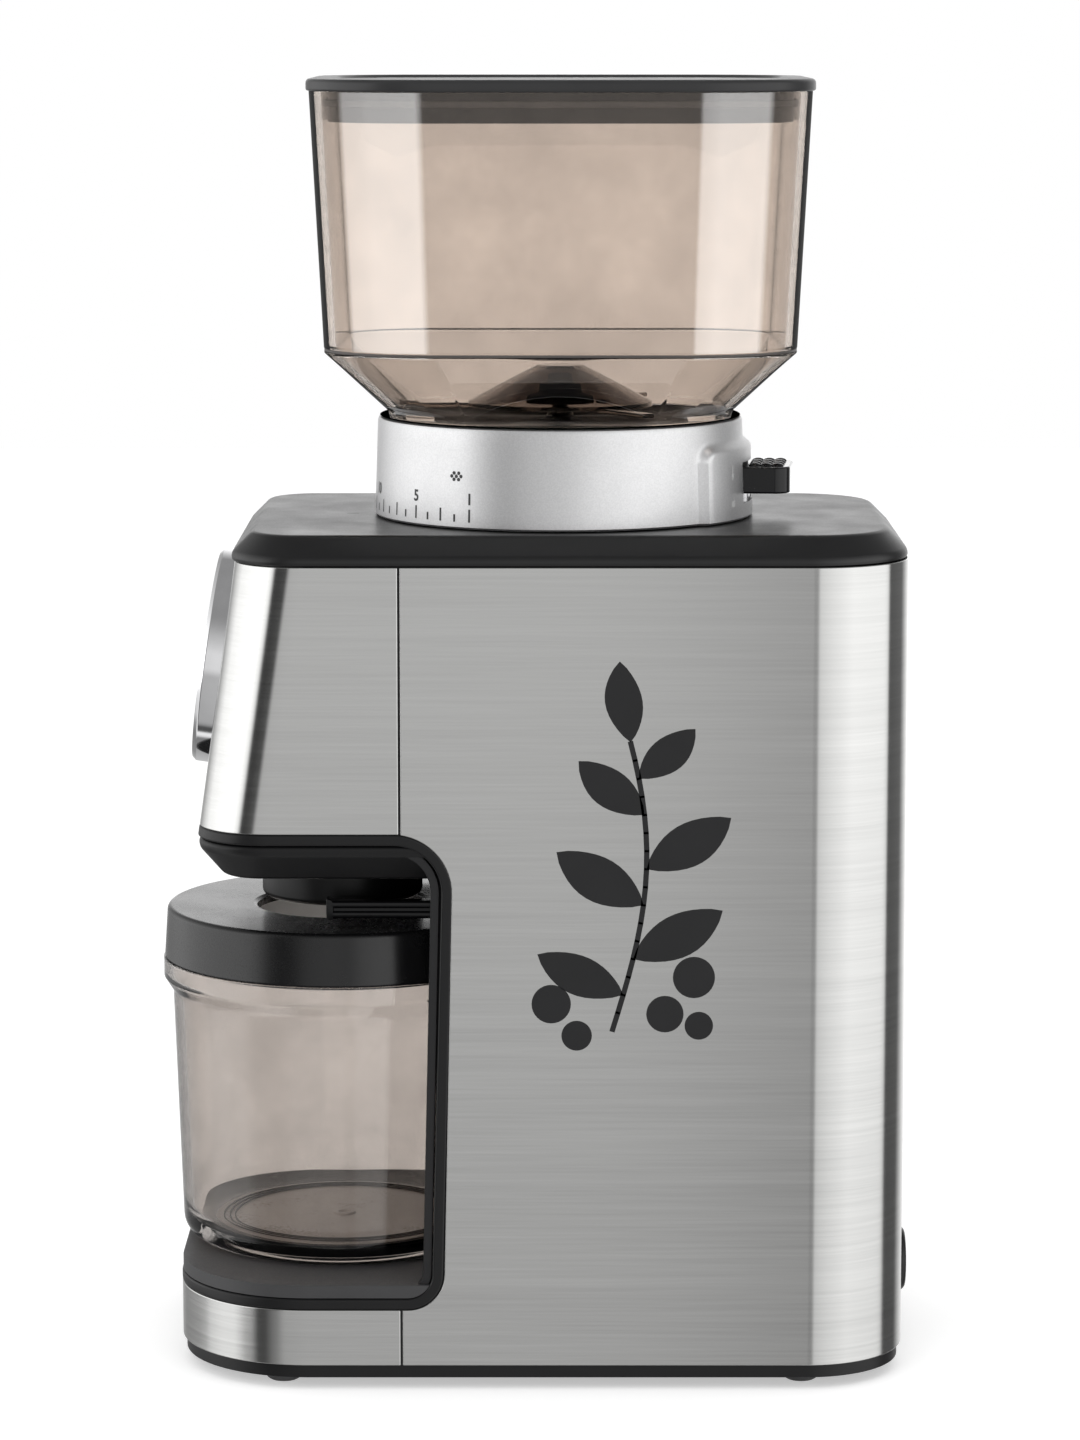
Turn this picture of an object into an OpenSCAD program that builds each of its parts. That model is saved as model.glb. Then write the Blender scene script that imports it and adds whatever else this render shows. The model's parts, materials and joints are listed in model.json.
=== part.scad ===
// Conical burr coffee grinder: a steel-skinned upright body with an open bay for
// the grounds jar, a stepped grind collar on the deck and a lift-off bean hopper.
// X is the width, -Y the front, +Z up. The origin lies on the surface it stands
// on, below the middle of the whole object.

/* [Body] */
// Width of the steel body
body_w = 136; // [132:1:146]
// Depth of the steel body, front of the base to back
body_d = 218.8; // [216:0.2:226]
// Front face of the base, from the origin
base_front_y = -108; // [-110:0.5:-106]
// Thickness of the brushed steel skins
skin_t = 0.8; // [0.6:0.1:1.2]
// Wall of the moulded housing behind the skins
housing_wall = 2.4; // [2:0.1:3]
// Corner radius of the body at the back
rear_corner_r = 30; // [24:1:32]
// Corner radius of the base at the front
base_corner_r = 40; // [36:1:44]
// Corner radius of the head at the front
head_corner_r = 21; // [18:1:26]
// Lean of the head's front face
head_lean = 8.1; // [6:0.1:10]
// Head front face at the top of the skin, from the origin
head_front_y = -88.8; // [-90:0.2:-87]
// Seam between the front and rear skins
seam_y = -40; // [-42:0.5:-38]
// Width of the open seam between two skins
seam_gap = 0.6; // [0.4:0.1:1]

/* [Heights] */
// Rubber foot height under the base plate
foot_h = 3.5; // [3:0.5:5]
// Visible height of the base plate's rim
base_rim_h = 4; // [3:0.5:6]
// Top edge of the steel skins
skin_top_z = 246.8; // [244:0.2:250]
// Straight side band of the top cap
cap_band_h = 2.6; // [2:0.2:4]
// Bevel of the top cap, up and inwards
cap_bevel = 6.2; // [5:0.2:7]

// How far the lead's gland stands out of the back
gland_out = 4; // [3:0.5:6]

/* [Bay] */
// Lower edge of the bay opening in the skins
bay_low_z = 24.5; // [23:0.5:26]
// Upper edge of the bay opening in the skins
bay_high_z = 168; // [166:0.5:169]
// Column edge at the top of the bay
column_top_y = -24.4; // [-26:0.2:-23]
// Column edge at the foot of the bay
column_low_y = -27.4; // [-29:0.2:-26]
// Radius of the bay's upper corner
bay_top_r = 17.5; // [14:0.5:20]
// Radius of the bay's lower corner
bay_low_r = 11; // [9:0.5:13]
// Width of the black trim round the bay
trim_w = 3.4; // [2.6:0.2:4.2]
// Height of the tapered pan under the head
pan_h = 11.5; // [9:0.5:13]
// Inward taper of the pan, from its rim to its floor
pan_taper = 9; // [6:0.5:11]
// Height of the grey platform above the trim
platform_h = 4.1; // [3.5:0.1:5]

/* [Jar] */
// Axis of the jar and the spout, from the origin
jar_y = -59.6; // [-60:0.2:-59]
// Radius of the jar's rim band
jar_rim_r = 55.2; // [54:0.2:55.6]
// Radius of the jar wall under the rim
jar_neck_r = 52.4; // [51:0.2:53]
// Radius of the jar at its foot
jar_foot_r = 49.6; // [46:0.2:50]
// Height of the jar, foot to rim
jar_h = 87.5; // [84:0.5:88]
// Height of the jar's rim band
jar_band_h = 5.8; // [4:0.2:7]
// Wall of the jar
jar_wall = 2.8; // [2.2:0.2:3.2]
// Thickness of the jar's floor
jar_floor_t = 4.2; // [3.4:0.2:5]
// Height of the jar lid above the jar
jar_lid_h = 16; // [14:0.5:16]
// Radius of the jar lid
jar_lid_r = 54.8; // [53.6:0.2:55]
// Hole in the jar lid under the spout
jar_lid_hole_r = 26.2; // [25.6:0.2:28]
// Clearance between the jar and the bay's recess
jar_gap = 3; // [2:0.2:4]

/* [Spout and fork] */
// Outer radius of the spout
spout_r = 24.6; // [22:0.2:25]
// Wall of the spout
spout_wall = 2.4; // [2:0.2:3]
// Gap between the jar lid and the spout
spout_gap = 2.9; // [2:0.1:4]
// Thickness of a fork prong, side to side
prong_t = 5; // [4:0.5:6]
// Height of a fork prong
prong_h = 5.6; // [5:0.2:6]
// Gap between the spout and a fork prong
prong_gap = 1.8; // [1.2:0.1:2.4]
// Tip of the fork, from the origin
prong_tip_y = -63; // [-66:0.5:-60]

/* [Grind collar] */
// Axis of the burrs, the collar and the hopper, from the origin
burr_y = 7.3; // [6:0.1:8]
// Radius of the collar at its foot
collar_r = 56.2; // [55:0.2:57]
// Draft of the collar, foot to top
collar_draft = 1; // [0.6:0.1:1.6]
// Height of the collar
collar_h = 29.8; // [28:0.2:32]
// Wall of the collar
collar_wall = 2.6; // [2:0.2:3]
// Running gap between the collar and the deck
collar_gap = 0.3; // [0.3:0.05:0.5]
// Reach of the lever housing beyond the collar
bulge_t = 2.4; // [1.8:0.2:3]
// Half angle of the lever housing
bulge_half_deg = 33; // [30:1:36]
// Direction of the lever, from +X towards +Y
lever_deg = 84; // [80:1:92]
// Fine end of the setting travel
ring_min_deg = -61; // [-64:1:-58]
// Coarse end of the setting travel
ring_max_deg = 119; // [110:1:122]

/* [Release lever] */
// Width of the lever
lever_w = 27; // [24:1:30]
// Thickness of the lever
lever_t = 8; // [7:0.5:9]
// Reach of the lever from the burr axis
lever_reach = 70.4; // [68:0.2:72]
// Top of the lever above the deck
lever_top = 15.9; // [15:0.1:17]
// Travel of the lever when pressed
lever_travel = 2.5; // [2:0.1:3]

/* [Hopper] */
// Depth of the hopper at its rim, front to back
hopper_d = 148.4; // [144:0.4:152]
// Width of the hopper at its rim
hopper_w = 130; // [126:0.5:134]
// Corner radius of the hopper at its rim
hopper_corner_r = 36; // [30:1:40]
// Narrowing of the hopper from its rim to the funnel, each side
hopper_draft = 4; // [3:0.2:5]
// Height of the hopper's straight walls
hopper_wall_h = 77; // [70:1:80]
// Height of the funnel
funnel_h = 18; // [16:0.5:20]
// Wall of the hopper
hopper_wall = 3.4; // [2.8:0.2:3.8]
// Radius of the funnel's foot
neck_r = 55.2; // [54:0.2:55.6]
// Height of the black base ring that shows under the funnel
base_ring_h = 2.6; // [2:0.2:3.4]
// Overhang of the hopper lid over the wall
lid_lip = 0.9; // [0.6:0.1:1.4]
// Thickness of the hopper lid
lid_t = 3.6; // [3:0.2:4.4]
// Depth of the lid's skirt
lid_skirt_h = 9; // [7:0.5:12]
// Radius of the bean guard's brim
guard_r = 27.9; // [26:0.2:29]

/* [Burrs] */
// Outer radius of the cone burr
cone_r = 19; // [18:0.5:20]
// Height of the cone burr
cone_h = 24; // [22:0.5:25]
// Teeth of the cone burr
cone_teeth = 14; // [12:1:16]
// Outer radius of the ring burr
ring_burr_r = 27; // [26:0.5:29]
// Height of the ring burr
ring_burr_h = 18; // [16:0.5:19]
// Gap between the burrs at rest
burr_gap = 0.8; // [0.7:0.1:1.2]
// Outer radius of the grinding chamber
chamber_r = 44; // [43:0.5:46]
// Depth of the grinding chamber below the deck
chamber_h = 30; // [28:0.5:32]

/* [Drive] */
// Teeth of the output gear
output_teeth = 54; // [50:2:56]
// Teeth of the idler's small gear
idler_small_teeth = 15; // [14:1:17]
// Teeth of the idler's large gear
idler_large_teeth = 44; // [40:2:46]
// Teeth of the motor pinion
pinion_teeth = 13; // [12:1:14]
// Face width of the gears
gear_face = 6; // [5:0.5:7]
// Radius of the burr shaft
shaft_r = 4; // [3.5:0.25:4.5]
// Radius of the motor can, in gear modules
motor_modules = 26; // [24:0.5:27]
// Room between the motor and the wall behind it
motor_gap = 11.3; // [10:0.1:13]
// Length of the motor can
motor_h = 72; // [64:1:78]
// Radius of the motor shaft
motor_shaft_r = 2.5; // [2:0.25:3]

/* [Front panel] */
// Radius of the round control panel
panel_r = 33; // [31:0.5:34]
// How far the panel stands proud of the head
panel_proud = 6.8; // [5.5:0.1:7.5]
// Height of the panel's centre
panel_z = 210.8; // [208:0.2:212]
// Radius of the start button
start_r = 9.5; // [8:0.5:10]
// Radius of a small button
small_button_r = 4; // [3.5:0.25:4.25]
// Travel of a button
button_travel = 1; // [0.6:0.1:1.2]
// Play round a button
button_gap = 0.35; // [0.3:0.05:0.5]

/* [Hidden] */
$fn = 96;
eps = 0.01;
fit_gap = 0.3;      // between bodies that move past each other
run_gap = 0.05;     // radial, shaft in bearing

back_y = base_front_y + body_d;
far = body_w + body_d;                     // beyond the body on every side
wall_in = skin_t + housing_wall;           // inner face of the housing, from the steel's outer face
plate_z = foot_h;
skin_low_z = foot_h + base_rim_h;
deck_z = skin_top_z + cap_band_h + cap_bevel;
liner_x = body_w / 2 - wall_in;
bay_ceiling_z = bay_high_z - trim_w;
bay_floor_z = bay_low_z + trim_w;
pan_low_z = bay_ceiling_z - pan_h;
platform_z = bay_floor_z + platform_h;
recess_r = jar_rim_r + jar_gap;
recess_wall = 2.2;

gland_z = 22.3;
gland_r = 10;
neck_hole_r = 7.8;
inlet_r = 3.6;
deck_t = 3;
cap_wall = 2.6;
cap_front_y = head_front_y - 0.9;
deck_ring_r = 49.6;                        // upstand that the collar turns round
deck_ring_in = 47.2;

jar_z = platform_z;
jar_top_z = jar_z + jar_h;
jar_lid_z = jar_top_z + jar_lid_h;
spout_z = jar_lid_z + spout_gap;
prong_z = jar_lid_z + 1.6;
prong_x = spout_r + prong_gap;

collar_z = deck_z + collar_gap;
collar_top_z = collar_z + collar_h;
collar_top_r = collar_r - collar_draft;
throat_r = collar_top_r - collar_wall - 1.4;   // bore that takes the hopper's spigot
inner_r = collar_r - collar_wall;
lever_z = deck_z + lever_top - lever_t;
slot_w = lever_w + 2 * fit_gap;
slot_low_z = lever_z - lever_travel - fit_gap;
slot_high_z = lever_z + lever_t + 1.4;
bulge_r = collar_r + bulge_t;
bulge_top_z = slot_high_z + 2.6;

base_ring_z = collar_top_z + fit_gap;
neck_z = base_ring_z + base_ring_h;
shoulder_z = neck_z + funnel_h;
rim_z = shoulder_z + hopper_wall_h;
spigot_r = throat_r - fit_gap;
spigot_h = 8;
hopper_low_w = hopper_w - 2 * hopper_draft;
hopper_low_d = hopper_d - 2 * hopper_draft;
hopper_low_r = hopper_corner_r - hopper_draft / 2;
top_z = rim_z + lid_t;

chamber_z = deck_z - 3 - chamber_h;       // underside of the chamber
chamber_wall = 3;
cone_z = deck_z - 9;                       // foot of the cone burr
ring_burr_z = cone_z + 4;
cone_top_r = 8.5;
carrier_z = ring_burr_z + ring_burr_h;     // shelf over the ring burr
gear_span = (output_teeth + idler_small_teeth + idler_large_teeth + pinion_teeth) / 2;
drive_room = back_y - wall_in - motor_gap - burr_y;
gear_m = drive_room / (gear_span + motor_modules);
motor_r = gear_m * motor_modules;
output_z = chamber_z - 5 - gear_face - 5;   // foot of the output gear
case_z = output_z - gear_face - 12;         // foot of the gearbox
motor_can_z = case_z - 5 - motor_h;
fan_z = motor_can_z - 16;
pin_r = 2.5;
fan_r = motor_r - 5.5;
idler_dist = gear_m * (output_teeth + idler_small_teeth) / 2;
motor_dist = gear_m * (idler_large_teeth + pinion_teeth) / 2;
idler_y = burr_y + idler_dist;
motor_y = idler_y + motor_dist;
idler_large_z = output_z - gear_face - 1;
gear_backlash = 0.3;

function arc(cy, cz, r, from, to, n = 12) =
    [for (i = [0 : n]) let (a = from + (to - from) * i / n) [cy + r * cos(a), cz + r * sin(a)]];

// Side outline of the bay, g inside the opening in the skins, as [y, z] points
function bay_points(g, front = -far) = concat(
    [[front, bay_high_z - g]],
    arc(column_top_y - bay_top_r, bay_high_z - bay_top_r, bay_top_r - g, 90, 0),
    arc(column_low_y - bay_low_r, bay_low_z + bay_low_r, bay_low_r - g, 0, -90),
    [[front, bay_low_z + g]]);

// One involute flank point at radius r on a gear of base radius rb
function inv_deg(r, rb) = let (t = sqrt(max(0, (r / rb) * (r / rb) - 1))) t * 180 / PI - atan(t);
function gear_points(teeth) = let (
        rp = gear_m * teeth / 2,
        rb = rp * cos(20),
        ra = rp + 0.8 * gear_m,
        rf = rp - 1.05 * gear_m,
        half = 90 / teeth - gear_backlash / 2 / rp * 180 / PI,
        at_pitch = inv_deg(rp, rb),
        rs = max(rb, rf))
    [for (k = [0 : teeth - 1], s = [0 : 7]) let (
        u = s < 4 ? s / 3 : (7 - s) / 3,
        r = s == 0 || s == 7 ? rf : rs + (ra - rs) * u,
        w = half + at_pitch - inv_deg(max(r, rb), rb),
        a = 360 * k / teeth + (s < 4 ? -w : w))
        [r * cos(a), r * sin(a)]];

// Rounded rectangle from y0 to y1, w wide, with its own front and back corner radii
module plan(w, y0, y1, front_r, back_r) {
    translate([-w / 2, y0 + front_r]) square([w, y1 - y0 - front_r - back_r]);
    translate([-w / 2 + front_r, y0]) square([w - 2 * front_r, front_r + eps]);
    translate([-w / 2 + back_r, y1 - back_r - eps]) square([w - 2 * back_r, back_r + eps]);
    for (x = [-1, 1]) {
        translate([x * (w / 2 - front_r), y0 + front_r]) circle(front_r);
        translate([x * (w / 2 - back_r), y1 - back_r]) circle(back_r);
    }
}

// Body outline g inside the steel
module body_plan(g = 0) {
    plan(body_w - 2 * g, base_front_y + g, back_y - g, base_corner_r - g, rear_corner_r - g);
}

// Leaning front block of the head, g inside the steel, up to y = seam
module head_block(z0, z1, g = 0, back = seam_y) {
    intersection() {
        translate([-far, -far, z0]) cube([2 * far, far + back, z1 - z0]);
        translate([0, head_front_y, skin_top_z]) rotate([-head_lean, 0, 0])
            translate([0, 0, -far]) linear_extrude(2 * far)
                plan(body_w - 2 * g, g, body_d / 2, head_corner_r - g, head_corner_r - g);
    }
}

// Prism of the bay, g inside the opening, between x0 and x1
module bay_prism(g, x0, x1) {
    translate([x0, 0, 0]) rotate([90, 0, 90]) linear_extrude(x1 - x0) polygon(bay_points(g));
}

// All space in front of y
module before(y) {
    translate([-far, -far, -far]) cube([2 * far, far + y, 4 * far]);
}

// All space behind y
module behind(y) {
    translate([-far, y, -far]) cube([2 * far, 2 * far, 4 * far]);
}

module slab(z0, z1) {
    translate([0, 0, z0]) linear_extrude(z1 - z0) children();
}

module at_burr(z = 0) {
    translate([0, burr_y, z]) children();
}

module at_jar(z = 0) {
    translate([0, jar_y, z]) children();
}

module tube(outer, inner, h) {
    difference() {
        cylinder(r = outer, h = h);
        translate([0, 0, -1]) cylinder(r = inner, h = h + 2);
    }
}

// Pieces round the panel: z along the panel's outward normal, from the head's face
module at_panel() {
    face_y = head_front_y - (skin_top_z - panel_z) * tan(head_lean);
    translate([0, face_y, panel_z]) rotate([90 - head_lean, 0, 0]) children();
}

// ---- body: skins and shells ----

foot_spots = [for (x = [-1, 1], y = [base_front_y + 32.3, back_y - 31.2]) [x * (body_w / 2 - 13), y]];
boss_r = 7;
lip_h = 6;
lip_t = 2.2;
grille_pitch = 7;
grille_l = 36;

module base_plate() {
    color([0.07, 0.07, 0.07]) difference() {
        union() {
            slab(plate_z, skin_low_z) body_plan(1.2);
            slab(skin_low_z - eps, skin_low_z + lip_h) difference() {
                body_plan(wall_in + 0.2);
                body_plan(wall_in + 0.2 + lip_t);
            }
            for (p = foot_spots) translate([p[0], p[1], plate_z])
                cylinder(r = boss_r, h = base_rim_h + lip_h);
        }
        gland_hole(gland_r + 1.4);
        // underside: shallow well for winding the lead and a grille of air slots
        slab(plate_z - 1, plate_z + 1.6) difference() {
            plan(body_w - 44, base_front_y + 52, back_y - 52, 20, 20);
            plan(body_w - 76, base_front_y + 68, back_y - 68, 10, 10);
        }
        for (i = [-3 : 3]) translate([i * grille_pitch - 1.5, motor_y - grille_l / 2, plate_z - 1])
            cube([3, grille_l, base_rim_h + 2]);
    }
}

module rubber_feet() {
    color([0.55, 0.55, 0.55]) for (p = foot_spots) translate([p[0], p[1], 0]) rotate_extrude()
        polygon([[0, 0], [4.2, 0], [5.6, 1.2], [5.6, foot_h], [0, foot_h]]);
}

cleat_l = 17;
module cord_cleats() {
    color([0.1, 0.1, 0.1]) for (y = [base_front_y + 72, back_y - 73]) for (x = [-1, 1])
        translate([x * (body_w / 2 - 18) - 7, y - cleat_l / 2, 1.1]) union() {
            cube([14, cleat_l, 1.4]);
            translate([x > 0 ? 0 : 9, 0, 0]) cube([5, cleat_l, foot_h - 1.1]);
        }
}

module base_screws() {
    color("silver") for (p = foot_spots) translate([p[0] * 0.74, p[1] * 0.8, plate_z - 1.2]) difference() {
        cylinder(r = 3, h = 1.2);
        translate([-0.5, -2.2, -0.5]) cube([1, 4.4, 1.1]);
        translate([-2.2, -0.5, -0.5]) cube([4.4, 1, 1.1]);
    }
}

module skin_ring(z0, z1) {
    slab(z0, z1) difference() {
        body_plan(0);
        body_plan(skin_t);
    }
}

module base_skin() {
    color([0.72, 0.72, 0.71]) intersection() {
        skin_ring(skin_low_z, bay_low_z);
        before(seam_y - seam_gap / 2);
    }
}

module rear_skin() {
    color([0.72, 0.72, 0.71]) difference() {
        skin_ring(skin_low_z, skin_top_z);
        before(seam_y + seam_gap / 2);
        bay_prism(0, -body_w, body_w);
        gland_hole(neck_hole_r + 0.2);
    }
}

module head_skin() {
    color([0.74, 0.74, 0.73]) difference() {
        head_block(bay_high_z, skin_top_z, 0, seam_y - seam_gap / 2);
        head_block(bay_high_z - 1, skin_top_z + 1, skin_t, seam_y);
        at_panel() translate([0, 0, -10]) cylinder(r = panel_r - 3, h = 12);
    }
}

housing_split_z = gland_z + gland_r + 2;

module housing_ring(z0, z1) {
    slab(z0, z1) difference() {
        body_plan(skin_t);
        body_plan(wall_in);
    }
}

module base_housing() {
    color([0.12, 0.12, 0.12]) difference() {
        housing_ring(skin_low_z, housing_split_z);
        bay_prism(0, -body_w, body_w);
        gland_hole(neck_hole_r + 0.2);
    }
}

module column_housing() {
    lap = 0.4;
    rib_t = 2;
    rib_d = 6;
    shelf_t = 3;
    color([0.12, 0.12, 0.12]) difference() {
        union() {
            housing_ring(housing_split_z, skin_top_z);
            // ribs on the back wall and the shelf under the gearbox
            for (x = [-30, 30]) translate([x - rib_t / 2, back_y - wall_in - rib_d, housing_split_z])
                cube([rib_t, rib_d + lap, skin_top_z - housing_split_z - 10]);
            difference() {
                slab(case_z - shelf_t, case_z) intersection() {
                    body_plan(wall_in - lap);
                    translate([-body_w, 2]) square([2 * body_w, back_y]);
                }
                translate([0, motor_y, case_z - shelf_t - 1]) cylinder(r = motor_r * 0.5, h = shelf_t + 2);
            }
        }
        before(seam_y);
        bay_prism(0, -body_w, body_w);
    }
}

module head_housing() {
    color([0.12, 0.12, 0.12]) difference() {
        head_block(bay_high_z - 2, skin_top_z, skin_t, seam_y);
        head_block(bay_high_z - 3, skin_top_z + 1, wall_in, seam_y + 1);
        bay_prism(0, -body_w, body_w);
        at_panel() translate([0, 0, -12]) cylinder(r = panel_r - 3, h = 14);
    }
}

module bay_trim() {
    color([0.05, 0.05, 0.05]) {
        difference() {
            intersection() {
                union() {
                    difference() {
                        slab(bay_low_z, bay_high_z) body_plan(0);
                        slab(bay_low_z - 1, bay_high_z + 1) body_plan(wall_in);
                        translate([-far, -far, bay_floor_z + 20]) cube([2 * far, far + seam_y, far]);
                    }
                    difference() {
                        head_block(bay_ceiling_z - 1, bay_high_z, 0, seam_y);
                        head_block(bay_ceiling_z - 2, bay_high_z + 1, wall_in, seam_y + 1);
                    }
                }
                bay_prism(0, -body_w, body_w);
            }
            bay_prism(trim_w, -body_w, body_w);
        }
    }
}

// Round wall of the jar's recess
module recess_ring() {
    intersection() {
        at_jar(bay_floor_z) tube(recess_r + recess_wall, recess_r, bay_ceiling_z - bay_floor_z);
        behind(column_low_y - trim_w + 1);
    }
}

module bay_liner() {
    back = 2.4;
    color([0.11, 0.11, 0.11]) union() {
        difference() {
            bay_prism(trim_w - back, -liner_x, liner_x);
            bay_prism(trim_w, -body_w, body_w);
            before(seam_y - 4);
            at_jar(-1) cylinder(r = recess_r, h = far);
        }
        recess_ring();
    }
}

module head_pan() {
    roof_t = 2;
    color([0.06, 0.06, 0.06]) difference() {
        union() {
            intersection() {
                difference() {
                    pan_body(0);
                    pan_body(roof_t);
                }
                bay_prism(trim_w, -body_w, body_w);
            }
            // roof over the jar's recess
            intersection() {
                at_jar(pan_low_z) cylinder(r = recess_r - 0.1, h = roof_t);
                behind(seam_y);
            }
        }
        recess_ring();
        at_jar(pan_low_z - 5) cylinder(r = spout_r + run_gap, h = 60);
    }
}

// Tapered pan under the head, g inside its outer faces; open upwards when g > 0
module pan_body(g) {
    back = column_top_y - trim_w - 2;
    hull() {
        intersection() {
            head_block(bay_ceiling_z - eps, bay_ceiling_z + (g > 0 ? 1 : 0), g + 0.6, back + 40);
            before(back + 12 - g);
        }
        intersection() {
            head_block(pan_low_z + g, pan_low_z + g + eps, pan_taper + g, back + 40);
            before(back + 4 - g);
        }
    }
}

module jar_platform() {
    g = 0.3;
    edge = 1.2;
    groove_w = 1;
    color([0.3, 0.3, 0.3]) difference() {
        union() {
            hull() {
                slab(bay_floor_z, platform_z - edge) platform_front(g);
                slab(platform_z - edge, platform_z) platform_front(g + edge);
            }
            hull() {
                slab(bay_floor_z, platform_z - edge) platform_back(g);
                slab(platform_z - edge, platform_z) platform_back(g + edge);
            }
        }
        for (r = [20 : 6 : 38]) at_jar(platform_z - 0.6) tube(r + groove_w, r, 2);
    }
}

module platform_front(g) {
    intersection() {
        body_plan(g);
        translate([-far, -far]) square([2 * far, far + column_low_y - bay_low_r]);
    }
}

module platform_back(g) {
    intersection() {
        translate([0, jar_y]) circle(recess_r - g);
        translate([-far, jar_y]) square([2 * far, far]);
    }
}

module cap_plan(g) {
    plan(body_w - 2 * g, cap_front_y + g, back_y - 0.6 - g, head_corner_r - g, rear_corner_r - g);
}

module top_cap() {
    color([0.07, 0.07, 0.07]) difference() {
        union() {
            slab(skin_top_z, skin_top_z + cap_band_h) cap_plan(0);
            hull() {
                slab(skin_top_z + cap_band_h - eps, skin_top_z + cap_band_h) cap_plan(0);
                slab(deck_z - 1.4, deck_z - 1.4 + eps) cap_plan(cap_bevel - 1.4);
                slab(deck_z - eps, deck_z) cap_plan(cap_bevel + 1.4);
            }
            slab(skin_top_z - 5, skin_top_z) difference() {
                cap_plan(wall_in + 1.2);
                cap_plan(wall_in + 3.2);
            }
            at_burr(deck_z - 1) cylinder(r = deck_ring_r, h = 6);
        }
        slab(skin_top_z - 6, deck_z - deck_t) cap_plan(cap_wall + cap_bevel);
        at_burr(deck_z - deck_t - 1) cylinder(r = deck_ring_in, h = 20);
        at_burr(deck_z - deck_t - 1) translate([0, switch_at, 0]) cylinder(r = 1.6, h = 10);
    }
}

module gland_hole(r) {
    translate([0, back_y + 1, gland_z]) rotate([90, 0, 0]) cylinder(r = r, h = 20);
}

module cord_gland() {
    flange_t = 2;
    color([0.06, 0.06, 0.06]) translate([0, back_y, gland_z]) rotate([90, 0, 0]) difference() {
        union() {
            translate([0, 0, -gland_out]) rotate_extrude()
                polygon([[0, 0], [gland_r - 1.2, 0], [gland_r, 1.2], [gland_r, gland_out], [0, gland_out]]);
            cylinder(r = neck_hole_r, h = wall_in + 2 * flange_t);
            translate([0, 0, wall_in]) cylinder(r = gland_r + 1, h = flange_t);
        }
        translate([0, 0, -gland_out - 1]) cylinder(r = inlet_r, h = gland_out + wall_in + 3 * flange_t);
    }
}

module spout() {
    top = bay_ceiling_z + 3;
    in_r = spout_r - spout_wall;
    color([0.06, 0.06, 0.06]) at_jar() rotate_extrude() union() {
        translate([in_r, spout_z + 2.4]) square([spout_wall, top - spout_z - 2.4]);
        polygon([[in_r, spout_z + 2.5], [in_r, spout_z], [spout_r - 2.2, spout_z],
            [spout_r - 0.7, spout_z + 0.7], [spout_r, spout_z + 2.4], [spout_r, spout_z + 2.5]]);
        translate([in_r, top]) square([2.2 + spout_wall, 2]);
    }
}

module portafilter_fork() {
    back = jar_y + sqrt(pow(recess_r, 2) - pow(prong_x + prong_t, 2)) + 0.6;
    plate_t = 2;
    color([0.06, 0.06, 0.06]) {
        for (x = [-1, 1]) difference() {
            union() {
                translate([x * (prong_x + prong_t / 2) - prong_t / 2, prong_tip_y, prong_z])
                    cube([prong_t, back - prong_tip_y, prong_h]);
                translate([x * (prong_x + prong_t / 2), prong_tip_y + 1.5, prong_z + prong_h - 1])
                    rotate([0, 90, 0]) translate([0, 0, -prong_t / 2]) cylinder(r = 1.5, h = prong_t);
                intersection() {
                    at_jar(prong_z - 6) tube(recess_r, recess_r - plate_t, prong_h + 10);
                    translate([x > 0 ? prong_x - 2 : -prong_x - prong_t - 6, jar_y, 0])
                        cube([prong_t + 8, far, far]);
                }
            }
            // channel along the outer side
            translate([x * (prong_x + prong_t) - 1.2, prong_tip_y + 4, prong_z + prong_h * 0.42])
                cube([2.4, 30, prong_h * 0.18]);
        }
    }
}

// ---- grinding chamber and drive ----

duct_r = burr_y - chamber_r - jar_y - 0.1;
duct_wall = 2.2;
outlet_w = 26;
outlet_low = chamber_z + 4;
outlet_high = chamber_z + 18;
case_half_w = gear_m * output_teeth / 2 + 3.5;
case_wall = 2.4;
bearing_r = 11;
bearing_h = 7;
cover_z = output_z + gear_face + 2;

module outlet_hole(extra, y0, y1) {
    translate([-outlet_w / 2 - extra, y0, outlet_low - extra])
        cube([outlet_w + 2 * extra, y1 - y0, outlet_high - outlet_low + 2 * extra]);
}

module grind_chamber() {
    color([0.2, 0.2, 0.2]) difference() {
        union() {
            at_burr(chamber_z) cylinder(r = chamber_r, h = deck_z - deck_t - chamber_z);
            at_burr(deck_z - deck_t - 3) cylinder(r = chamber_r + 5, h = 3);
        }
        at_burr(chamber_z + chamber_wall) cylinder(r = chamber_r - chamber_wall, h = 60);
        at_burr(chamber_z - 1) cylinder(r = bearing_r, h = 10);
        outlet_hole(0, burr_y - chamber_r - 10, burr_y - chamber_r + 20);
    }
}

module outlet_duct() {
    low = bay_ceiling_z + 5;
    high = skin_top_z - fit_gap;
    color([0.16, 0.16, 0.16]) difference() {
        union() {
            at_jar(low) cylinder(r = duct_r, h = high - low);
            difference() {
                outlet_hole(2, jar_y, burr_y - chamber_r + 8);
                at_burr(chamber_z - 10) cylinder(r = chamber_r + 0.1, h = 90);
            }
        }
        at_jar(low - 1) cylinder(r = duct_r - duct_wall, h = high - low - 1);
        outlet_hole(0, jar_y, burr_y);
    }
}

module case_plan(g) {
    plan(2 * (case_half_w - g), burr_y - case_half_w + g, motor_y + 12 - g, case_half_w - g - eps, 10 - g);
}

module gearbox_case() {
    color([0.35, 0.35, 0.36]) difference() {
        slab(case_z, cover_z) case_plan(0);
        slab(case_z + 3, cover_z + 1) case_plan(case_wall);
        translate([0, motor_y, case_z - 1]) cylinder(r = motor_shaft_r + 0.8, h = 5);
        translate([0, idler_y, case_z - 1]) cylinder(r = pin_r, h = 5);
    }
    color([0.35, 0.35, 0.36]) at_burr(case_z + 3 - eps) tube(bearing_r + 2, bearing_r, bearing_h);
}

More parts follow.
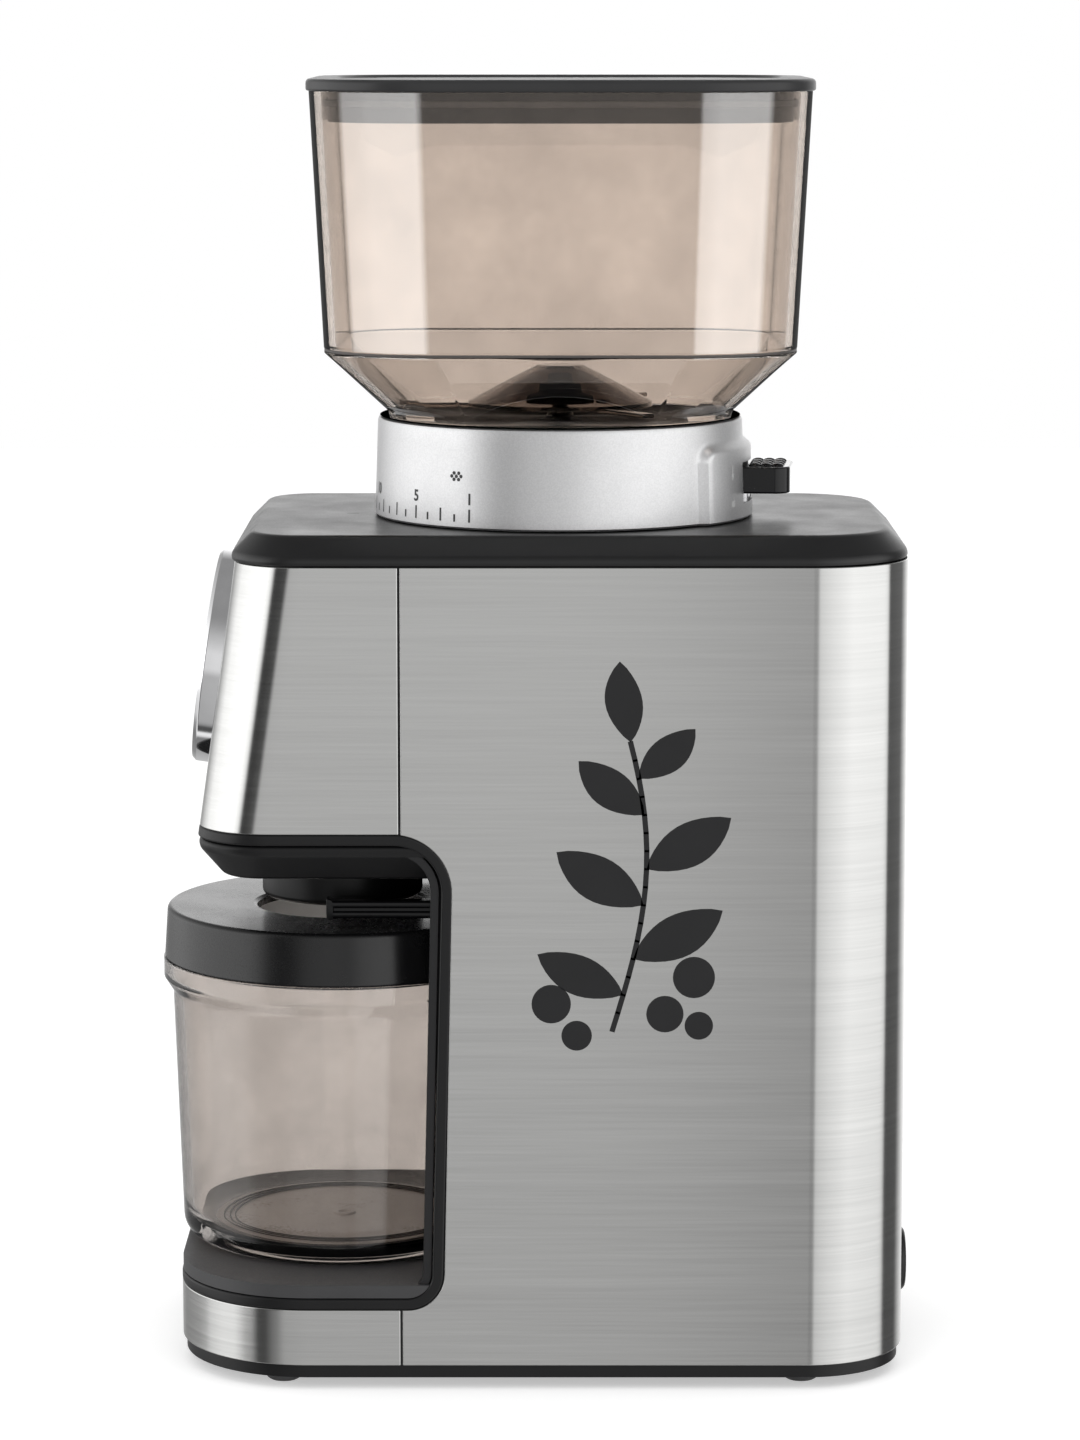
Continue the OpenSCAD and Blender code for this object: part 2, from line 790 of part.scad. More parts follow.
module gearbox_cover() {
    color([0.4, 0.4, 0.41]) difference() {
        union() {
            slab(cover_z, cover_z + 2.4) case_plan(0);
            at_burr(cover_z) cylinder(r = bearing_r + 2.4, h = chamber_z - cover_z);
        }
        at_burr(cover_z - 1) cylinder(r = bearing_r - 3, h = 20);
        at_burr(chamber_z + chamber_wall - bearing_h) cylinder(r = bearing_r, h = 20);
        translate([0, idler_y, cover_z - 1]) cylinder(r = pin_r, h = 5);
    }
}

module idler_pin() {
    color("silver") translate([0, idler_y, case_z + 0.5]) cylinder(r = pin_r, h = cover_z + 2 - case_z);
}

module bearing(z) {
    shield_dip = 0.6;
    color("silver") at_burr(z) rotate_extrude() difference() {
        translate([shaft_r + run_gap, 0]) square([bearing_r - shaft_r - run_gap, bearing_h]);
        for (y = [-eps, bearing_h - shield_dip + eps])
            translate([shaft_r + 2, y]) square([bearing_r - shaft_r - 4, shield_dip]);
    }
}

module upper_bearing() {
    bearing(chamber_z + chamber_wall - bearing_h);
}

module lower_bearing() {
    bearing(case_z + 3);
}

module burr_shaft() {
    low = case_z + 3.5;
    color("silver") at_burr(low) cylinder(r = shaft_r, h = cone_z + cone_h + 6 - low);
}

module output_gear() {
    hub_lip = 1.5;
    color([0.85, 0.83, 0.76]) at_burr(output_z) difference() {
        union() {
            rotate(90 + 180 / output_teeth) linear_extrude(gear_face) polygon(gear_points(output_teeth));
            translate([0, 0, -hub_lip]) cylinder(r = shaft_r + 4, h = gear_face + 2 * hub_lip);
        }
        translate([0, 0, -5]) cylinder(r = shaft_r, h = gear_face + 10);
    }
}

module idler_gear() {
    hub_r = gear_m * idler_small_teeth / 2 - 1.2;
    small_z = output_z - idler_large_z;
    color([0.85, 0.83, 0.76]) translate([0, idler_y, idler_large_z]) difference() {
        union() {
            rotate(90) linear_extrude(gear_face) polygon(gear_points(idler_large_teeth));
            cylinder(r = hub_r, h = small_z + 1);
            translate([0, 0, small_z]) rotate(270) linear_extrude(gear_face)
                polygon(gear_points(idler_small_teeth));
        }
        translate([0, 0, -1]) cylinder(r = pin_r + run_gap, h = small_z + gear_face + 2);
    }
}

module motor_pinion() {
    face = gear_face + 1;
    color("gold") translate([0, motor_y, idler_large_z - 0.5]) difference() {
        rotate(270 + 180 / pinion_teeth) linear_extrude(face) polygon(gear_points(pinion_teeth));
        translate([0, 0, -1]) cylinder(r = motor_shaft_r, h = face + 2);
    }
}

module motor_shaft() {
    top = idler_large_z + gear_face + 1.5;
    color("silver") translate([0, motor_y, fan_z]) cylinder(r = motor_shaft_r, h = top - fan_z);
}

module cooling_fan() {
    blades = 8;
    hub_r = motor_shaft_r + 3.5;
    color([0.15, 0.15, 0.15]) translate([0, motor_y, fan_z + 1]) difference() {
        union() {
            cylinder(r = hub_r, h = 7.4);
            for (i = [0 : blades - 1]) rotate(i * 360 / blades)
                translate([hub_r - 1, -0.7, 0]) cube([fan_r - hub_r, 1.4, 7]);
            cylinder(r = fan_r, h = 1.2);
        }
        translate([0, 0, -1]) cylinder(r = motor_shaft_r, h = 10);
    }
}

module motor_can() {
    color([0.55, 0.55, 0.56]) translate([0, motor_y, motor_can_z]) difference() {
        cylinder(r = motor_r, h = motor_h);
        translate([0, 0, -1]) cylinder(r = motor_r - 2, h = motor_h - 2);
        cylinder(r = motor_shaft_r + 0.6, h = motor_h + 1);
        for (a = [0, 90, 180, 270]) rotate(a) translate([-4, motor_r - 4, 12]) cube([8, 8, 20]);
    }
}

module motor_end_cap() {
    color([0.12, 0.12, 0.12]) translate([0, motor_y, motor_can_z - 4]) difference() {
        union() {
            cylinder(r = motor_r, h = 4);
            translate([0, 0, 4]) cylinder(r = motor_r - 2, h = 3);
        }
        translate([0, 0, -1]) cylinder(r = motor_shaft_r + 0.6, h = 10);
        for (a = [0 : 60 : 300])
            rotate(a) translate([motor_r * 0.35, -2.5, -1]) cube([motor_r * 0.42, 5, 10]);
    }
}

module motor_mounts() {
    color([0.1, 0.1, 0.1]) translate([0, motor_y, case_z - 5]) tube(motor_r - 1, motor_r * 0.5 + 2, 2);
}

// ---- electrics ----

board_w = 44;
board_t = 1.6;
board_z = -6.4;
power_w = 62;
power_h = 62;
power_z = 37.5;
post_spots = [for (x = [-19, 19], y = [-19, 19]) [x, y]];

module control_board() {
    color([0.1, 0.35, 0.18]) at_panel() difference() {
        translate([-board_w / 2, -board_w / 2, board_z - board_t]) cube([board_w, board_w, board_t]);
        for (p = post_spots) translate([p[0], p[1], board_z - 3]) cylinder(r = 1.2, h = 6);
    }
}

module power_board() {
    y = back_y - wall_in - 6;
    part_d = 13;
    color([0.55, 0.42, 0.2]) {
        translate([-power_w / 2, y - board_t, power_z]) cube([power_w, board_t, power_h]);
        translate([-power_w * 0.32, y - board_t - part_d, power_z + power_h * 0.13])
            cube([power_w * 0.26, part_d, power_h * 0.32]);
        translate([power_w * 0.1, y - board_t - part_d * 0.8, power_z + power_h * 0.26])
            cube([power_w * 0.23, part_d * 0.8, power_h * 0.39]);
    }
}

switch_at = (deck_ring_r + inner_r) / 2;

module hopper_switch() {
    color([0.1, 0.1, 0.1]) at_burr(deck_z - deck_t) {
        translate([-10, switch_at - 2.4, -10]) cube([20, 6.4, 10]);
        translate([0, switch_at, -eps]) cylinder(r = 1.2, h = deck_t - 0.4);
    }
}

// ---- round control panel on the head ----

bezel_w = 3.4;
face_r = panel_r - bezel_w;
face_z = panel_proud - 1.4;
start_at = [0, -9];
small_at = [for (x = [-19, 0, 19]) [x, x == 0 ? -24 : -9]];
display_w = 30;
display_h = 13;
display_y = 12;

module panel_bezel() {
    color([0.85, 0.85, 0.86]) at_panel() rotate_extrude() difference() {
        translate([face_r, 0]) square([bezel_w, panel_proud - 1.2]);
        translate([face_r - 1, -1]) square([1, 1]);
    }
    color([0.85, 0.85, 0.86]) at_panel() translate([0, 0, panel_proud - 1.2]) rotate_extrude()
        polygon([[face_r, 0], [panel_r, 0], [panel_r - 0.9, 1.2], [face_r + 0.9, 1.2]]);
}

module panel_face() {
    color([0.03, 0.03, 0.03]) at_panel() difference() {
        union() {
            translate([0, 0, -5]) cylinder(r = face_r, h = face_z + 5);
            for (p = post_spots) translate([p[0], p[1], board_z])
                cylinder(r = 2.4, h = face_z - board_z - 1);
        }
        difference() {
            translate([0, 0, -6]) cylinder(r = face_r - 2.4, h = 4 + face_z);
            for (p = post_spots) translate([p[0], p[1], board_z - 1]) cylinder(r = 2.4, h = 40);
        }
        translate([start_at[0], start_at[1], -6]) cylinder(r = start_r + button_gap, h = 20);
        for (p = small_at) translate([p[0], p[1], -6]) cylinder(r = small_button_r + button_gap, h = 20);
        translate([-display_w / 2, display_y - display_h / 2, -6]) cube([display_w, display_h, 20]);
    }
}

module display_lens() {
    color([0.02, 0.03, 0.05]) at_panel() union() {
        translate([-display_w / 2, display_y - display_h / 2, face_z - 2]) cube([display_w, display_h, 2]);
        translate([-display_w / 2 - 1.5, display_y - display_h / 2 - 1.5, face_z - 3.2])
            cube([display_w + 3, display_h + 3, 1.2]);
    }
}

module button(p, r) {
    at_panel() translate([p[0], p[1], 0]) rotate_extrude()
        polygon([[0, board_z + button_travel], [1.5, board_z + button_travel], [1.5, -4], [r, -4],
            [r, face_z + 0.3], [r - 0.5, face_z + 0.8], [0, face_z + 0.8]]);
}

module start_button() {
    color([0.75, 0.75, 0.76]) button(start_at, start_r);
}

module minus_button() {
    color([0.75, 0.75, 0.76]) button(small_at[0], small_button_r);
}

module mode_button() {
    color([0.75, 0.75, 0.76]) button(small_at[1], small_button_r);
}

module plus_button() {
    color([0.75, 0.75, 0.76]) button(small_at[2], small_button_r);
}

// ---- grind collar and release lever ----

shelf_r = 47.4;
shelf_t = 2;
shelf_z = collar_top_z - 14;
tongue_w = 8;
spring_r = 1.7;
spring_x = 8;
spring_at = bulge_r - 2.6;
spring_low = slot_low_z - 3.2;

module lever_box(w, r0, r1, z0, z1) {
    rotate(lever_deg) translate([r0, -w / 2, z0]) cube([r1 - r0, w, z1 - z0]);
}

// Sector between two angles, out to r
module sector(r, from, to, n = 8) {
    polygon(concat([[0, 0]], arc(0, 0, r, from, to, n)));
}

module bulge() {
    cone_h = 3;
    intersection() {
        union() {
            translate([0, 0, collar_z]) cylinder(r = bulge_r, h = bulge_top_z - cone_h - collar_z);
            translate([0, 0, bulge_top_z - cone_h])
                cylinder(r1 = bulge_r, r2 = collar_top_r - 0.2, h = cone_h + 1);
        }
        translate([0, 0, collar_z]) linear_extrude(collar_h) rotate(lever_deg)
            sector(bulge_r * 1.3, -bulge_half_deg, bulge_half_deg);
    }
}

module grind_ring() {
    color([0.83, 0.84, 0.85]) at_burr() difference() {
        union() {
            rotate_extrude() polygon([[inner_r, collar_z], [collar_r, collar_z],
                [collar_top_r, collar_top_z - 1.2], [collar_top_r - 1.2, collar_top_z],
                [throat_r, collar_top_z], [throat_r, shelf_z + shelf_t], [shelf_r, shelf_z + shelf_t],
                [shelf_r, shelf_z], [inner_r, shelf_z]]);
            difference() {
                bulge();
                translate([0, 0, collar_z - 1]) cylinder(r = inner_r, h = 60);
            }
        }
        lever_box(slot_w, shelf_r + 1, bulge_r + 5, slot_low_z, slot_high_z);
        lever_box(slot_w + 6, shelf_r - 1, inner_r - 2.6, slot_low_z, shelf_z + shelf_t + 1);
        for (s = [-1, 1]) rotate(lever_deg) translate([spring_at, s * spring_x, spring_low])
            cylinder(r = spring_r + fit_gap, h = 10);
    }
}

module lever_spring() {
    color("silver") at_burr() rotate(lever_deg) for (s = [-1, 1])
        translate([spring_at, s * spring_x, spring_low]) tube(spring_r, spring_r - 0.6, lever_z - spring_low);
}

module release_lever() {
    round_r = 5;
    inner = deck_ring_r - 0.6;
    color([0.04, 0.04, 0.04]) at_burr() rotate(lever_deg) {
        translate([0, 0, lever_z]) linear_extrude(lever_t) {
            translate([inner, -lever_w / 2]) square([lever_reach - round_r - inner, lever_w]);
            translate([inner, -lever_w / 2 + round_r]) square([lever_reach - inner, lever_w - 2 * round_r]);
            for (s = [-1, 1])
                translate([lever_reach - round_r, s * (lever_w / 2 - round_r)]) circle(round_r);
        }
        translate([inner, -lever_w / 2 - 1.8, lever_z]) cube([1.4, lever_w + 3.6, lever_t]);
        translate([inner, -tongue_w / 2, lever_z + lever_t - eps])
            cube([1.4, tongue_w, tongue_top - lever_z - lever_t]);
    }
}

// ---- burrs ----

tongue_top = base_ring_z - spigot_h + 1.4;
dish_rise = 9;
carrier_r = deck_ring_in - 0.4;

module burr_carrier() {
    top = carrier_z + dish_rise;
    hole = cone_top_r + 9;
    cup = ring_burr_r + 2.4;
    color([0.62, 0.62, 0.63]) at_burr() rotate_extrude() polygon([
        [hole, carrier_z], [ring_burr_r, carrier_z], [ring_burr_r, ring_burr_z + 3],
        [cup, ring_burr_z + 3], [cup, carrier_z], [carrier_r - 2, top - 3], [carrier_r - 2, deck_z - 1.6],
        [carrier_r, deck_z - 1.6], [carrier_r, top], [carrier_r - 2, top], [hole + 3, carrier_z + 2],
        [hole, carrier_z + 2]]);
}

module ring_burr() {
    low_in = cone_r + burr_gap;
    high_in = cone_top_r + 8;
    color("silver") at_burr(ring_burr_z) difference() {
        cylinder(r = ring_burr_r, h = ring_burr_h);
        translate([0, 0, -eps]) cylinder(r1 = low_in, r2 = high_in, h = ring_burr_h + 2 * eps);
    }
}

module cone_burr() {
    groove = 1.6;
    heel = 4;
    slope = atan((cone_r - cone_top_r) / (cone_h - heel));
    color("silver") at_burr(cone_z) difference() {
        union() {
            cylinder(r = cone_r, h = heel);
            translate([0, 0, heel]) cylinder(r1 = cone_r, r2 = cone_top_r, h = cone_h - heel);
        }
        translate([0, 0, -1]) cylinder(r = shaft_r, h = cone_h + 2);
        for (i = [0 : cone_teeth - 1]) rotate(i * 360 / cone_teeth)
            translate([cone_r + groove / 4, 0, -1]) rotate([0, -slope, 18])
                translate([-groove, -groove, 0]) cube([2 * groove + 2, 1.4 * groove, cone_h + 8]);
    }
}

module burr_nut() {
    z0 = cone_z + cone_h;
    color([0.05, 0.05, 0.05]) at_burr() difference() {
        union() {
            rotate_extrude() polygon([[0, z0], [8.2, z0], [7.4, z0 + 5], [5.6, z0 + 12], [3.2, z0 + 17.5],
                [1.4, z0 + 19.5], [0, z0 + 20]]);
            for (a = [20, 140, 260]) rotate(a) translate([4, -1.4, z0]) rotate([0, 24, 0])
                cube([6, 2.8, 9]);
        }
        translate([0, 0, z0 - 1]) cylinder(r = shaft_r, h = 7);
        translate([0, 0, z0 - 9]) cylinder(r = cone_r, h = 9);
    }
}

module sweeper() {
    disc_r = chamber_r - chamber_wall - 1.2;
    low = chamber_z + chamber_wall + 1;
    color([0.16, 0.16, 0.16]) at_burr() difference() {
        union() {
            translate([0, 0, cone_z - 6]) cylinder(r = disc_r, h = 2);
            translate([0, 0, low]) cylinder(r = 10, h = cone_z - low);
            for (a = [0 : 60 : 300]) rotate(a) translate([9.5, -1.2, low])
                cube([disc_r - 10, 2.4, cone_z - 5 - low]);
        }
        translate([0, 0, cone_z - 20]) cylinder(r = shaft_r, h = 30);
    }
}

// ---- hopper ----

module tub_plan(w, d, r) {
    plan(w, -d / 2, d / 2, r, r);
}

// Outer form of the tub, g inside its walls
module tub_form(g, up = 0) {
    $fn = 48;
    hull() {
        slab(rim_z + up - eps, rim_z + up)
            tub_plan(hopper_w - 2 * g, hopper_d - 2 * g, hopper_corner_r - g);
        slab(shoulder_z + g * 0.4, shoulder_z + g * 0.4 + eps)
            tub_plan(hopper_low_w - 2 * g, hopper_low_d - 2 * g, hopper_low_r - g);
    }
    hull() {
        slab(shoulder_z + g * 0.4, shoulder_z + g * 0.4 + eps)
            tub_plan(hopper_low_w - 2 * g, hopper_low_d - 2 * g, hopper_low_r - g);
        translate([0, 0, neck_z]) cylinder(r = neck_r - g, h = eps);
    }
}

module hopper_tub() {
    color([0.55, 0.5, 0.45, 0.5]) at_burr() difference() {
        tub_form(0);
        tub_form(hopper_wall, 1);
        translate([0, 0, neck_z - 1]) cylinder(r = neck_r - hopper_wall, h = 2);
    }
}

module hopper_base() {
    spigot_wall = 2.2;
    low = base_ring_z - spigot_h;
    color([0.05, 0.05, 0.05]) at_burr() difference() {
        rotate_extrude() polygon([[spigot_r - spigot_wall, low], [spigot_r, low], [spigot_r, base_ring_z],
            [neck_r - 0.4, base_ring_z], [neck_r - 0.4, neck_z], [neck_r - hopper_wall - 1.4, neck_z],
            [spigot_r - spigot_wall, base_ring_z]]);
        rotate(lever_deg) translate([deck_ring_r - 4, -tongue_w / 2 - fit_gap, low - 1])
            cube([10, tongue_w + 2 * fit_gap, tongue_top - low + 1 + fit_gap]);
    }
}

module bean_guard() {
    brim_z = neck_z + 0.6;
    peak_z = neck_z + 13;
    t = 1.8;
    color([0.25, 0.22, 0.2, 0.8]) at_burr() {
        rotate_extrude() polygon([
            [guard_r, brim_z], [guard_r, brim_z + t], [14, peak_z - 3.4], [7, peak_z], [0, peak_z],
            [0, peak_z - t], [6.4, peak_z - t], [13, peak_z - 3.6 - t], [guard_r - 2, brim_z]]);
        for (a = [30, 150, 270]) rotate(a) translate([guard_r - 2.2, -2, neck_z])
            cube([neck_r - hopper_wall - guard_r + 2, 4, 1.4]);
    }
}

skirt_gap = 2.2;
skirt_t = 2;

module hopper_lid() {
    g = hopper_wall + skirt_gap;
    inner = g + skirt_t;
    edge = 1.2;
    w = hopper_w + 2 * lid_lip;
    d = hopper_d + 2 * lid_lip;
    r = hopper_corner_r + lid_lip;
    color([0.1, 0.1, 0.1]) at_burr() {
        hull() {
            slab(rim_z, rim_z + eps) tub_plan(w - 1, d - 1, r - 0.5);
            slab(rim_z + edge, top_z - edge) tub_plan(w, d, r);
            slab(top_z - eps, top_z) tub_plan(w - 2 * edge, d - 2 * edge, r - edge);
        }
        slab(rim_z - lid_skirt_h, rim_z + eps) difference() {
            tub_plan(hopper_w - 2 * g, hopper_d - 2 * g, hopper_corner_r - g);
            tub_plan(hopper_w - 2 * inner, hopper_d - 2 * inner, hopper_corner_r - inner);
        }
    }
}

module lid_seal() {
    g = hopper_wall + skirt_gap;
    t = 1.4;
    color([0.2, 0.2, 0.2]) at_burr() slab(rim_z - 4.5, rim_z - 2.5) difference() {
        tub_plan(hopper_w - 2 * g + 2 * t, hopper_d - 2 * g + 2 * t, hopper_corner_r - g + t);
        tub_plan(hopper_w - 2 * g, hopper_d - 2 * g, hopper_corner_r - g);
    }
}

// ---- grounds jar ----

module jar() {
    neck_z1 = jar_top_z - jar_band_h - 4.4;
    foot_round = 2.4;
    color([0.62, 0.58, 0.54, 0.5]) at_jar() rotate_extrude() polygon([
        [0, jar_z + 1.6], [38, jar_z + 1.6], [39.6, jar_z], [jar_foot_r - foot_round, jar_z],
        [jar_foot_r - 0.7, jar_z + 0.7], [jar_foot_r, jar_z + foot_round],
        [jar_neck_r, neck_z1], [jar_rim_r, jar_top_z - jar_band_h], [jar_rim_r, jar_top_z],
        [jar_rim_r - jar_wall, jar_top_z], [jar_rim_r - jar_wall, jar_top_z - jar_band_h + 0.6],
        [jar_neck_r - jar_wall, neck_z1 + 0.6], [jar_foot_r - jar_wall, jar_z + jar_floor_t + 3],
        [jar_foot_r - jar_wall - 3, jar_z + jar_floor_t], [0, jar_z + jar_floor_t]]);
}

module jar_lid() {
    wall = 2.2;
    plug_r = jar_rim_r - jar_wall - fit_gap;
    color([0.09, 0.09, 0.09]) at_jar() rotate_extrude() polygon([
        [jar_lid_hole_r, jar_lid_z - wall - 0.6], [jar_lid_hole_r, jar_lid_z - 0.6],
        [jar_lid_hole_r + 1, jar_lid_z], [jar_lid_r - 2.4, jar_lid_z], [jar_lid_r - 1.4, jar_lid_z - 0.4],
        [jar_lid_r - 0.9, jar_lid_z - 1.4], [jar_lid_r, jar_top_z + 0.5], [jar_lid_r, jar_top_z],
        [plug_r, jar_top_z], [plug_r, jar_top_z - 5], [plug_r - wall, jar_top_z - 5],
        [plug_r - wall, jar_lid_z - wall - 1.2]]);
}

base_plate();
rubber_feet();
cord_cleats();
base_screws();
base_skin();
rear_skin();
head_skin();
base_housing();
column_housing();
head_housing();
bay_trim();
bay_liner();
head_pan();
jar_platform();
top_cap();
cord_gland();
spout();
portafilter_fork();
grind_chamber();
outlet_duct();
gearbox_case();
gearbox_cover();
upper_bearing();
lower_bearing();
idler_pin();
motor_can();
motor_end_cap();
motor_mounts();
control_board();
power_board();
hopper_switch();
panel_bezel();
panel_face();
display_lens();
grind_ring();
lever_spring();
release_lever();
burr_carrier();
ring_burr();
cone_burr();
burr_nut();
sweeper();
burr_shaft();
output_gear();
idler_gear();
motor_shaft();
motor_pinion();
cooling_fan();
hopper_tub();
hopper_base();
bean_guard();
hopper_lid();
lid_seal();
jar();
jar_lid();
start_button();
minus_button();
plus_button();
mode_button();
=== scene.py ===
"""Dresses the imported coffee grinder: finished pieces, materials, light and camera, laid out as an add-on."""

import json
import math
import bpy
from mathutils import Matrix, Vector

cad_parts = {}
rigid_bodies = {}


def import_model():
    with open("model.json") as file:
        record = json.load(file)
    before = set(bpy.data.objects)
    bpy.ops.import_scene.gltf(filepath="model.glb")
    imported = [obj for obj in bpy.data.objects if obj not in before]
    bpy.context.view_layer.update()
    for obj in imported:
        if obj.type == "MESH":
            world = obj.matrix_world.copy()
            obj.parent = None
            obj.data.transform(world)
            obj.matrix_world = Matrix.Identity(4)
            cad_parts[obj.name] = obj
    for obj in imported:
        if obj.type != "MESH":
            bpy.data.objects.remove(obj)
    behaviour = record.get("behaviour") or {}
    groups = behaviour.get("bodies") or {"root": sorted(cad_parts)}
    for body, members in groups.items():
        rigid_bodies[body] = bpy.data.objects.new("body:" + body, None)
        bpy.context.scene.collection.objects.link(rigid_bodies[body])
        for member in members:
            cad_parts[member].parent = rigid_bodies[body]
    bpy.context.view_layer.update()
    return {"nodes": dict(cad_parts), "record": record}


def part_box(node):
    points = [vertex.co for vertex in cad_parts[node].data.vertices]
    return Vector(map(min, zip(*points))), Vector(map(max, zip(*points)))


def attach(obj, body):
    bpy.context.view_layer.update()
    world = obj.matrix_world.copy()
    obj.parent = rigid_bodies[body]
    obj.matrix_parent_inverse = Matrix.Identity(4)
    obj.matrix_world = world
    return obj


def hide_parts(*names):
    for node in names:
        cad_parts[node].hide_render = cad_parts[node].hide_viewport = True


bl_info = {
    "name": "Coffee Grinder Dresser",
    "version": (1, 0, 0),
    "blender": (4, 5, 0),
    "location": "View3D > Sidebar > Grinder",
    "description": "Builds the finished pieces, materials and stage of a burr coffee grinder round its CAD frame",
    "category": "Object",
}

import bpy
from bpy.props import FloatProperty, FloatVectorProperty, IntProperty, PointerProperty
from mathutils import Matrix, Vector

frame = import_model()
NODES = frame["nodes"]

BOX = {name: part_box(name) for name in NODES}


# ---- places worked out from the frame ----

def mid(node):
    low, high = BOX[node]
    return (low + high) / 2


BURR_Y = mid("burr_shaft").y
JAR_Y = mid("jar").y
BODY_W = BOX["rear_skin"][1].x * 2
BACK_Y = BOX["rear_skin"][1].y
FRONT_Y = BOX["base_skin"][0].y
SEAM_BACK_Y = BOX["rear_skin"][0].y
SEAM_FRONT_Y = BOX["base_skin"][1].y
SKIN_LOW_Z = BOX["rear_skin"][0].z
SKIN_TOP_Z = BOX["rear_skin"][1].z
DECK_Z = BOX["grind_ring"][0].z - 0.0003
BAY_LOW_Z = BOX["bay_trim"][0].z
BAY_HIGH_Z = BOX["bay_trim"][1].z
COLLAR_LOW_Z = BOX["grind_ring"][0].z
COLLAR_TOP_Z = BOX["grind_ring"][1].z


# ---- settings shown in the sidebar ----

def length_setting(name, description, default, low, high):
    return FloatProperty(name=name, description=description, default=default, min=low, max=high, unit="LENGTH",
                         subtype="DISTANCE")


def colour_setting(name, description, default):
    return FloatVectorProperty(name=name, description=description, default=default, size=3, min=0, max=1,
                               subtype="COLOR")


class GrinderSizes(bpy.types.PropertyGroup):
    """Sizes that a user would change"""

    steel_t: length_setting("Steel", "Thickness of the brushed skins", 0.0008, 0.0004, 0.0012)
    corner_r: length_setting("Body Corner", "Corner radius of the body", 0.030, 0.02, 0.034)
    base_corner_r: length_setting("Base Corner", "Corner radius of the base's front", 0.040, 0.036, 0.044)
    head_corner_r: length_setting("Head Corner", "Corner radius of the head", 0.021, 0.018, 0.026)
    trim_w: length_setting("Trim", "Width of the black trim round the bay", 0.0034, 0.0026, 0.0042)
    tub_wall: length_setting("Tub Wall", "Wall of the hopper", 0.0034, 0.0028, 0.0038)
    jar_wall: length_setting("Jar Wall", "Wall of the jar", 0.0028, 0.0022, 0.0032)
    head_lean: FloatProperty(
        name="Head Lean", description="Lean of the head's front", default=math.radians(8.1),
        min=math.radians(6), max=math.radians(10), unit="ROTATION", subtype="ANGLE")
    ticks: IntProperty(name="Ticks", description="Marks on half of the collar", default=35, min=11, max=61)
    segments: IntProperty(name="Corner Steps", description="Steps of a large round corner", default=20, min=8, max=32)


class GrinderColours(bpy.types.PropertyGroup):
    """Colours that a user would change"""

    steel: colour_setting("Steel", "Brushed steel", (0.59, 0.59, 0.58))
    satin: colour_setting("Satin Black", "Satin moulded plastic", (0.006, 0.006, 0.0065))
    gloss: colour_setting("Gloss Black", "Polished moulded plastic", (0.008, 0.008, 0.009))
    grey: colour_setting("Dark Grey", "Platform plastic", (0.06, 0.06, 0.062))
    silver: colour_setting("Silver Paint", "Metallic paint of the collar", (0.71, 0.71, 0.715))
    smoke: colour_setting("Smoke", "Tint of one wall of the clear plastic", (0.755, 0.678, 0.617))
    jar_smoke: colour_setting("Jar Smoke", "Tint of one wall of the jar", (0.63, 0.59, 0.56))


def sizes():
    return bpy.context.scene.grinder_sizes


def colours():
    return bpy.context.scene.grinder_colours


# ---- modelling tools: each one drives Blender's own operators ----

NEAR = 0.000001
WELD = 0.000002


def deselect_all():
    if bpy.context.object and bpy.context.object.mode != "OBJECT":
        bpy.ops.object.mode_set(mode="OBJECT")
    bpy.ops.object.select_all(action="DESELECT")


def take(obj):
    """Makes obj the only selected object."""
    deselect_all()
    obj.select_set(True)
    bpy.context.view_layer.objects.active = obj
    return obj


def settle(obj):
    """Puts the object at the origin, unturned and unscaled, with its place in its mesh."""
    take(obj)
    bpy.ops.object.transform_apply(location=True, rotation=True, scale=True)
    return obj


def edit(obj, kind="FACE"):
    take(obj)
    bpy.ops.object.mode_set(mode="EDIT")
    bpy.ops.mesh.select_mode(type=kind)
    bpy.ops.mesh.select_all(action="DESELECT")
    bpy.ops.object.mode_set(mode="OBJECT")


def pick_faces(obj, test):
    """Enters edit mode with just the faces that pass test(centre, normal) selected; returns how many."""
    edit(obj, "FACE")
    found = 0
    for face in obj.data.polygons:
        face.select = bool(test(face.center, face.normal))
        found += face.select
    bpy.ops.object.mode_set(mode="EDIT")
    return found


def done_editing():
    bpy.ops.object.mode_set(mode="OBJECT")


def whole(operator, **settings):
    """Runs one edit operator on the whole of the active mesh."""
    bpy.ops.object.mode_set(mode="EDIT")
    bpy.ops.mesh.select_all(action="SELECT")
    operator(**settings)
    done_editing()


def volume(obj):
    """Signed volume of a closed mesh; negative when its faces point inwards."""
    obj.data.calc_loop_triangles()
    verts = obj.data.vertices
    total = 0.0
    for tri in obj.data.loop_triangles:
        a, b, c = (verts[i].co for i in tri.vertices)
        total += a.dot(b.cross(c)) / 6
    return total


def outward(obj):
    take(obj)
    whole(bpy.ops.mesh.remove_doubles, threshold=WELD)
    whole(bpy.ops.mesh.normals_make_consistent, inside=False)
    if volume(obj) < 0:
        whole(bpy.ops.mesh.flip_normals)
    return obj


def modify(obj, kind, **settings):
    """Adds one modifier, sets it and applies it."""
    take(obj)
    modifier = obj.modifiers.new(kind.title(), kind)
    for key, value in settings.items():
        setattr(modifier, key, value)
    bpy.ops.object.modifier_apply(modifier=modifier.name)
    return obj


def remove(*objects):
    deselect_all()
    for obj in objects:
        obj.select_set(True)
    bpy.ops.object.delete()


def boolean(obj, tool, operation):
    modify(obj, "BOOLEAN", object=tool, operation=operation, solver="EXACT")
    remove(tool)
    return obj


def cut(obj, tool):
    return boolean(obj, tool, "DIFFERENCE")


def keep_inside(obj, tool):
    return boolean(obj, tool, "INTERSECT")


def fuse(obj, tool):
    return boolean(obj, tool, "UNION")


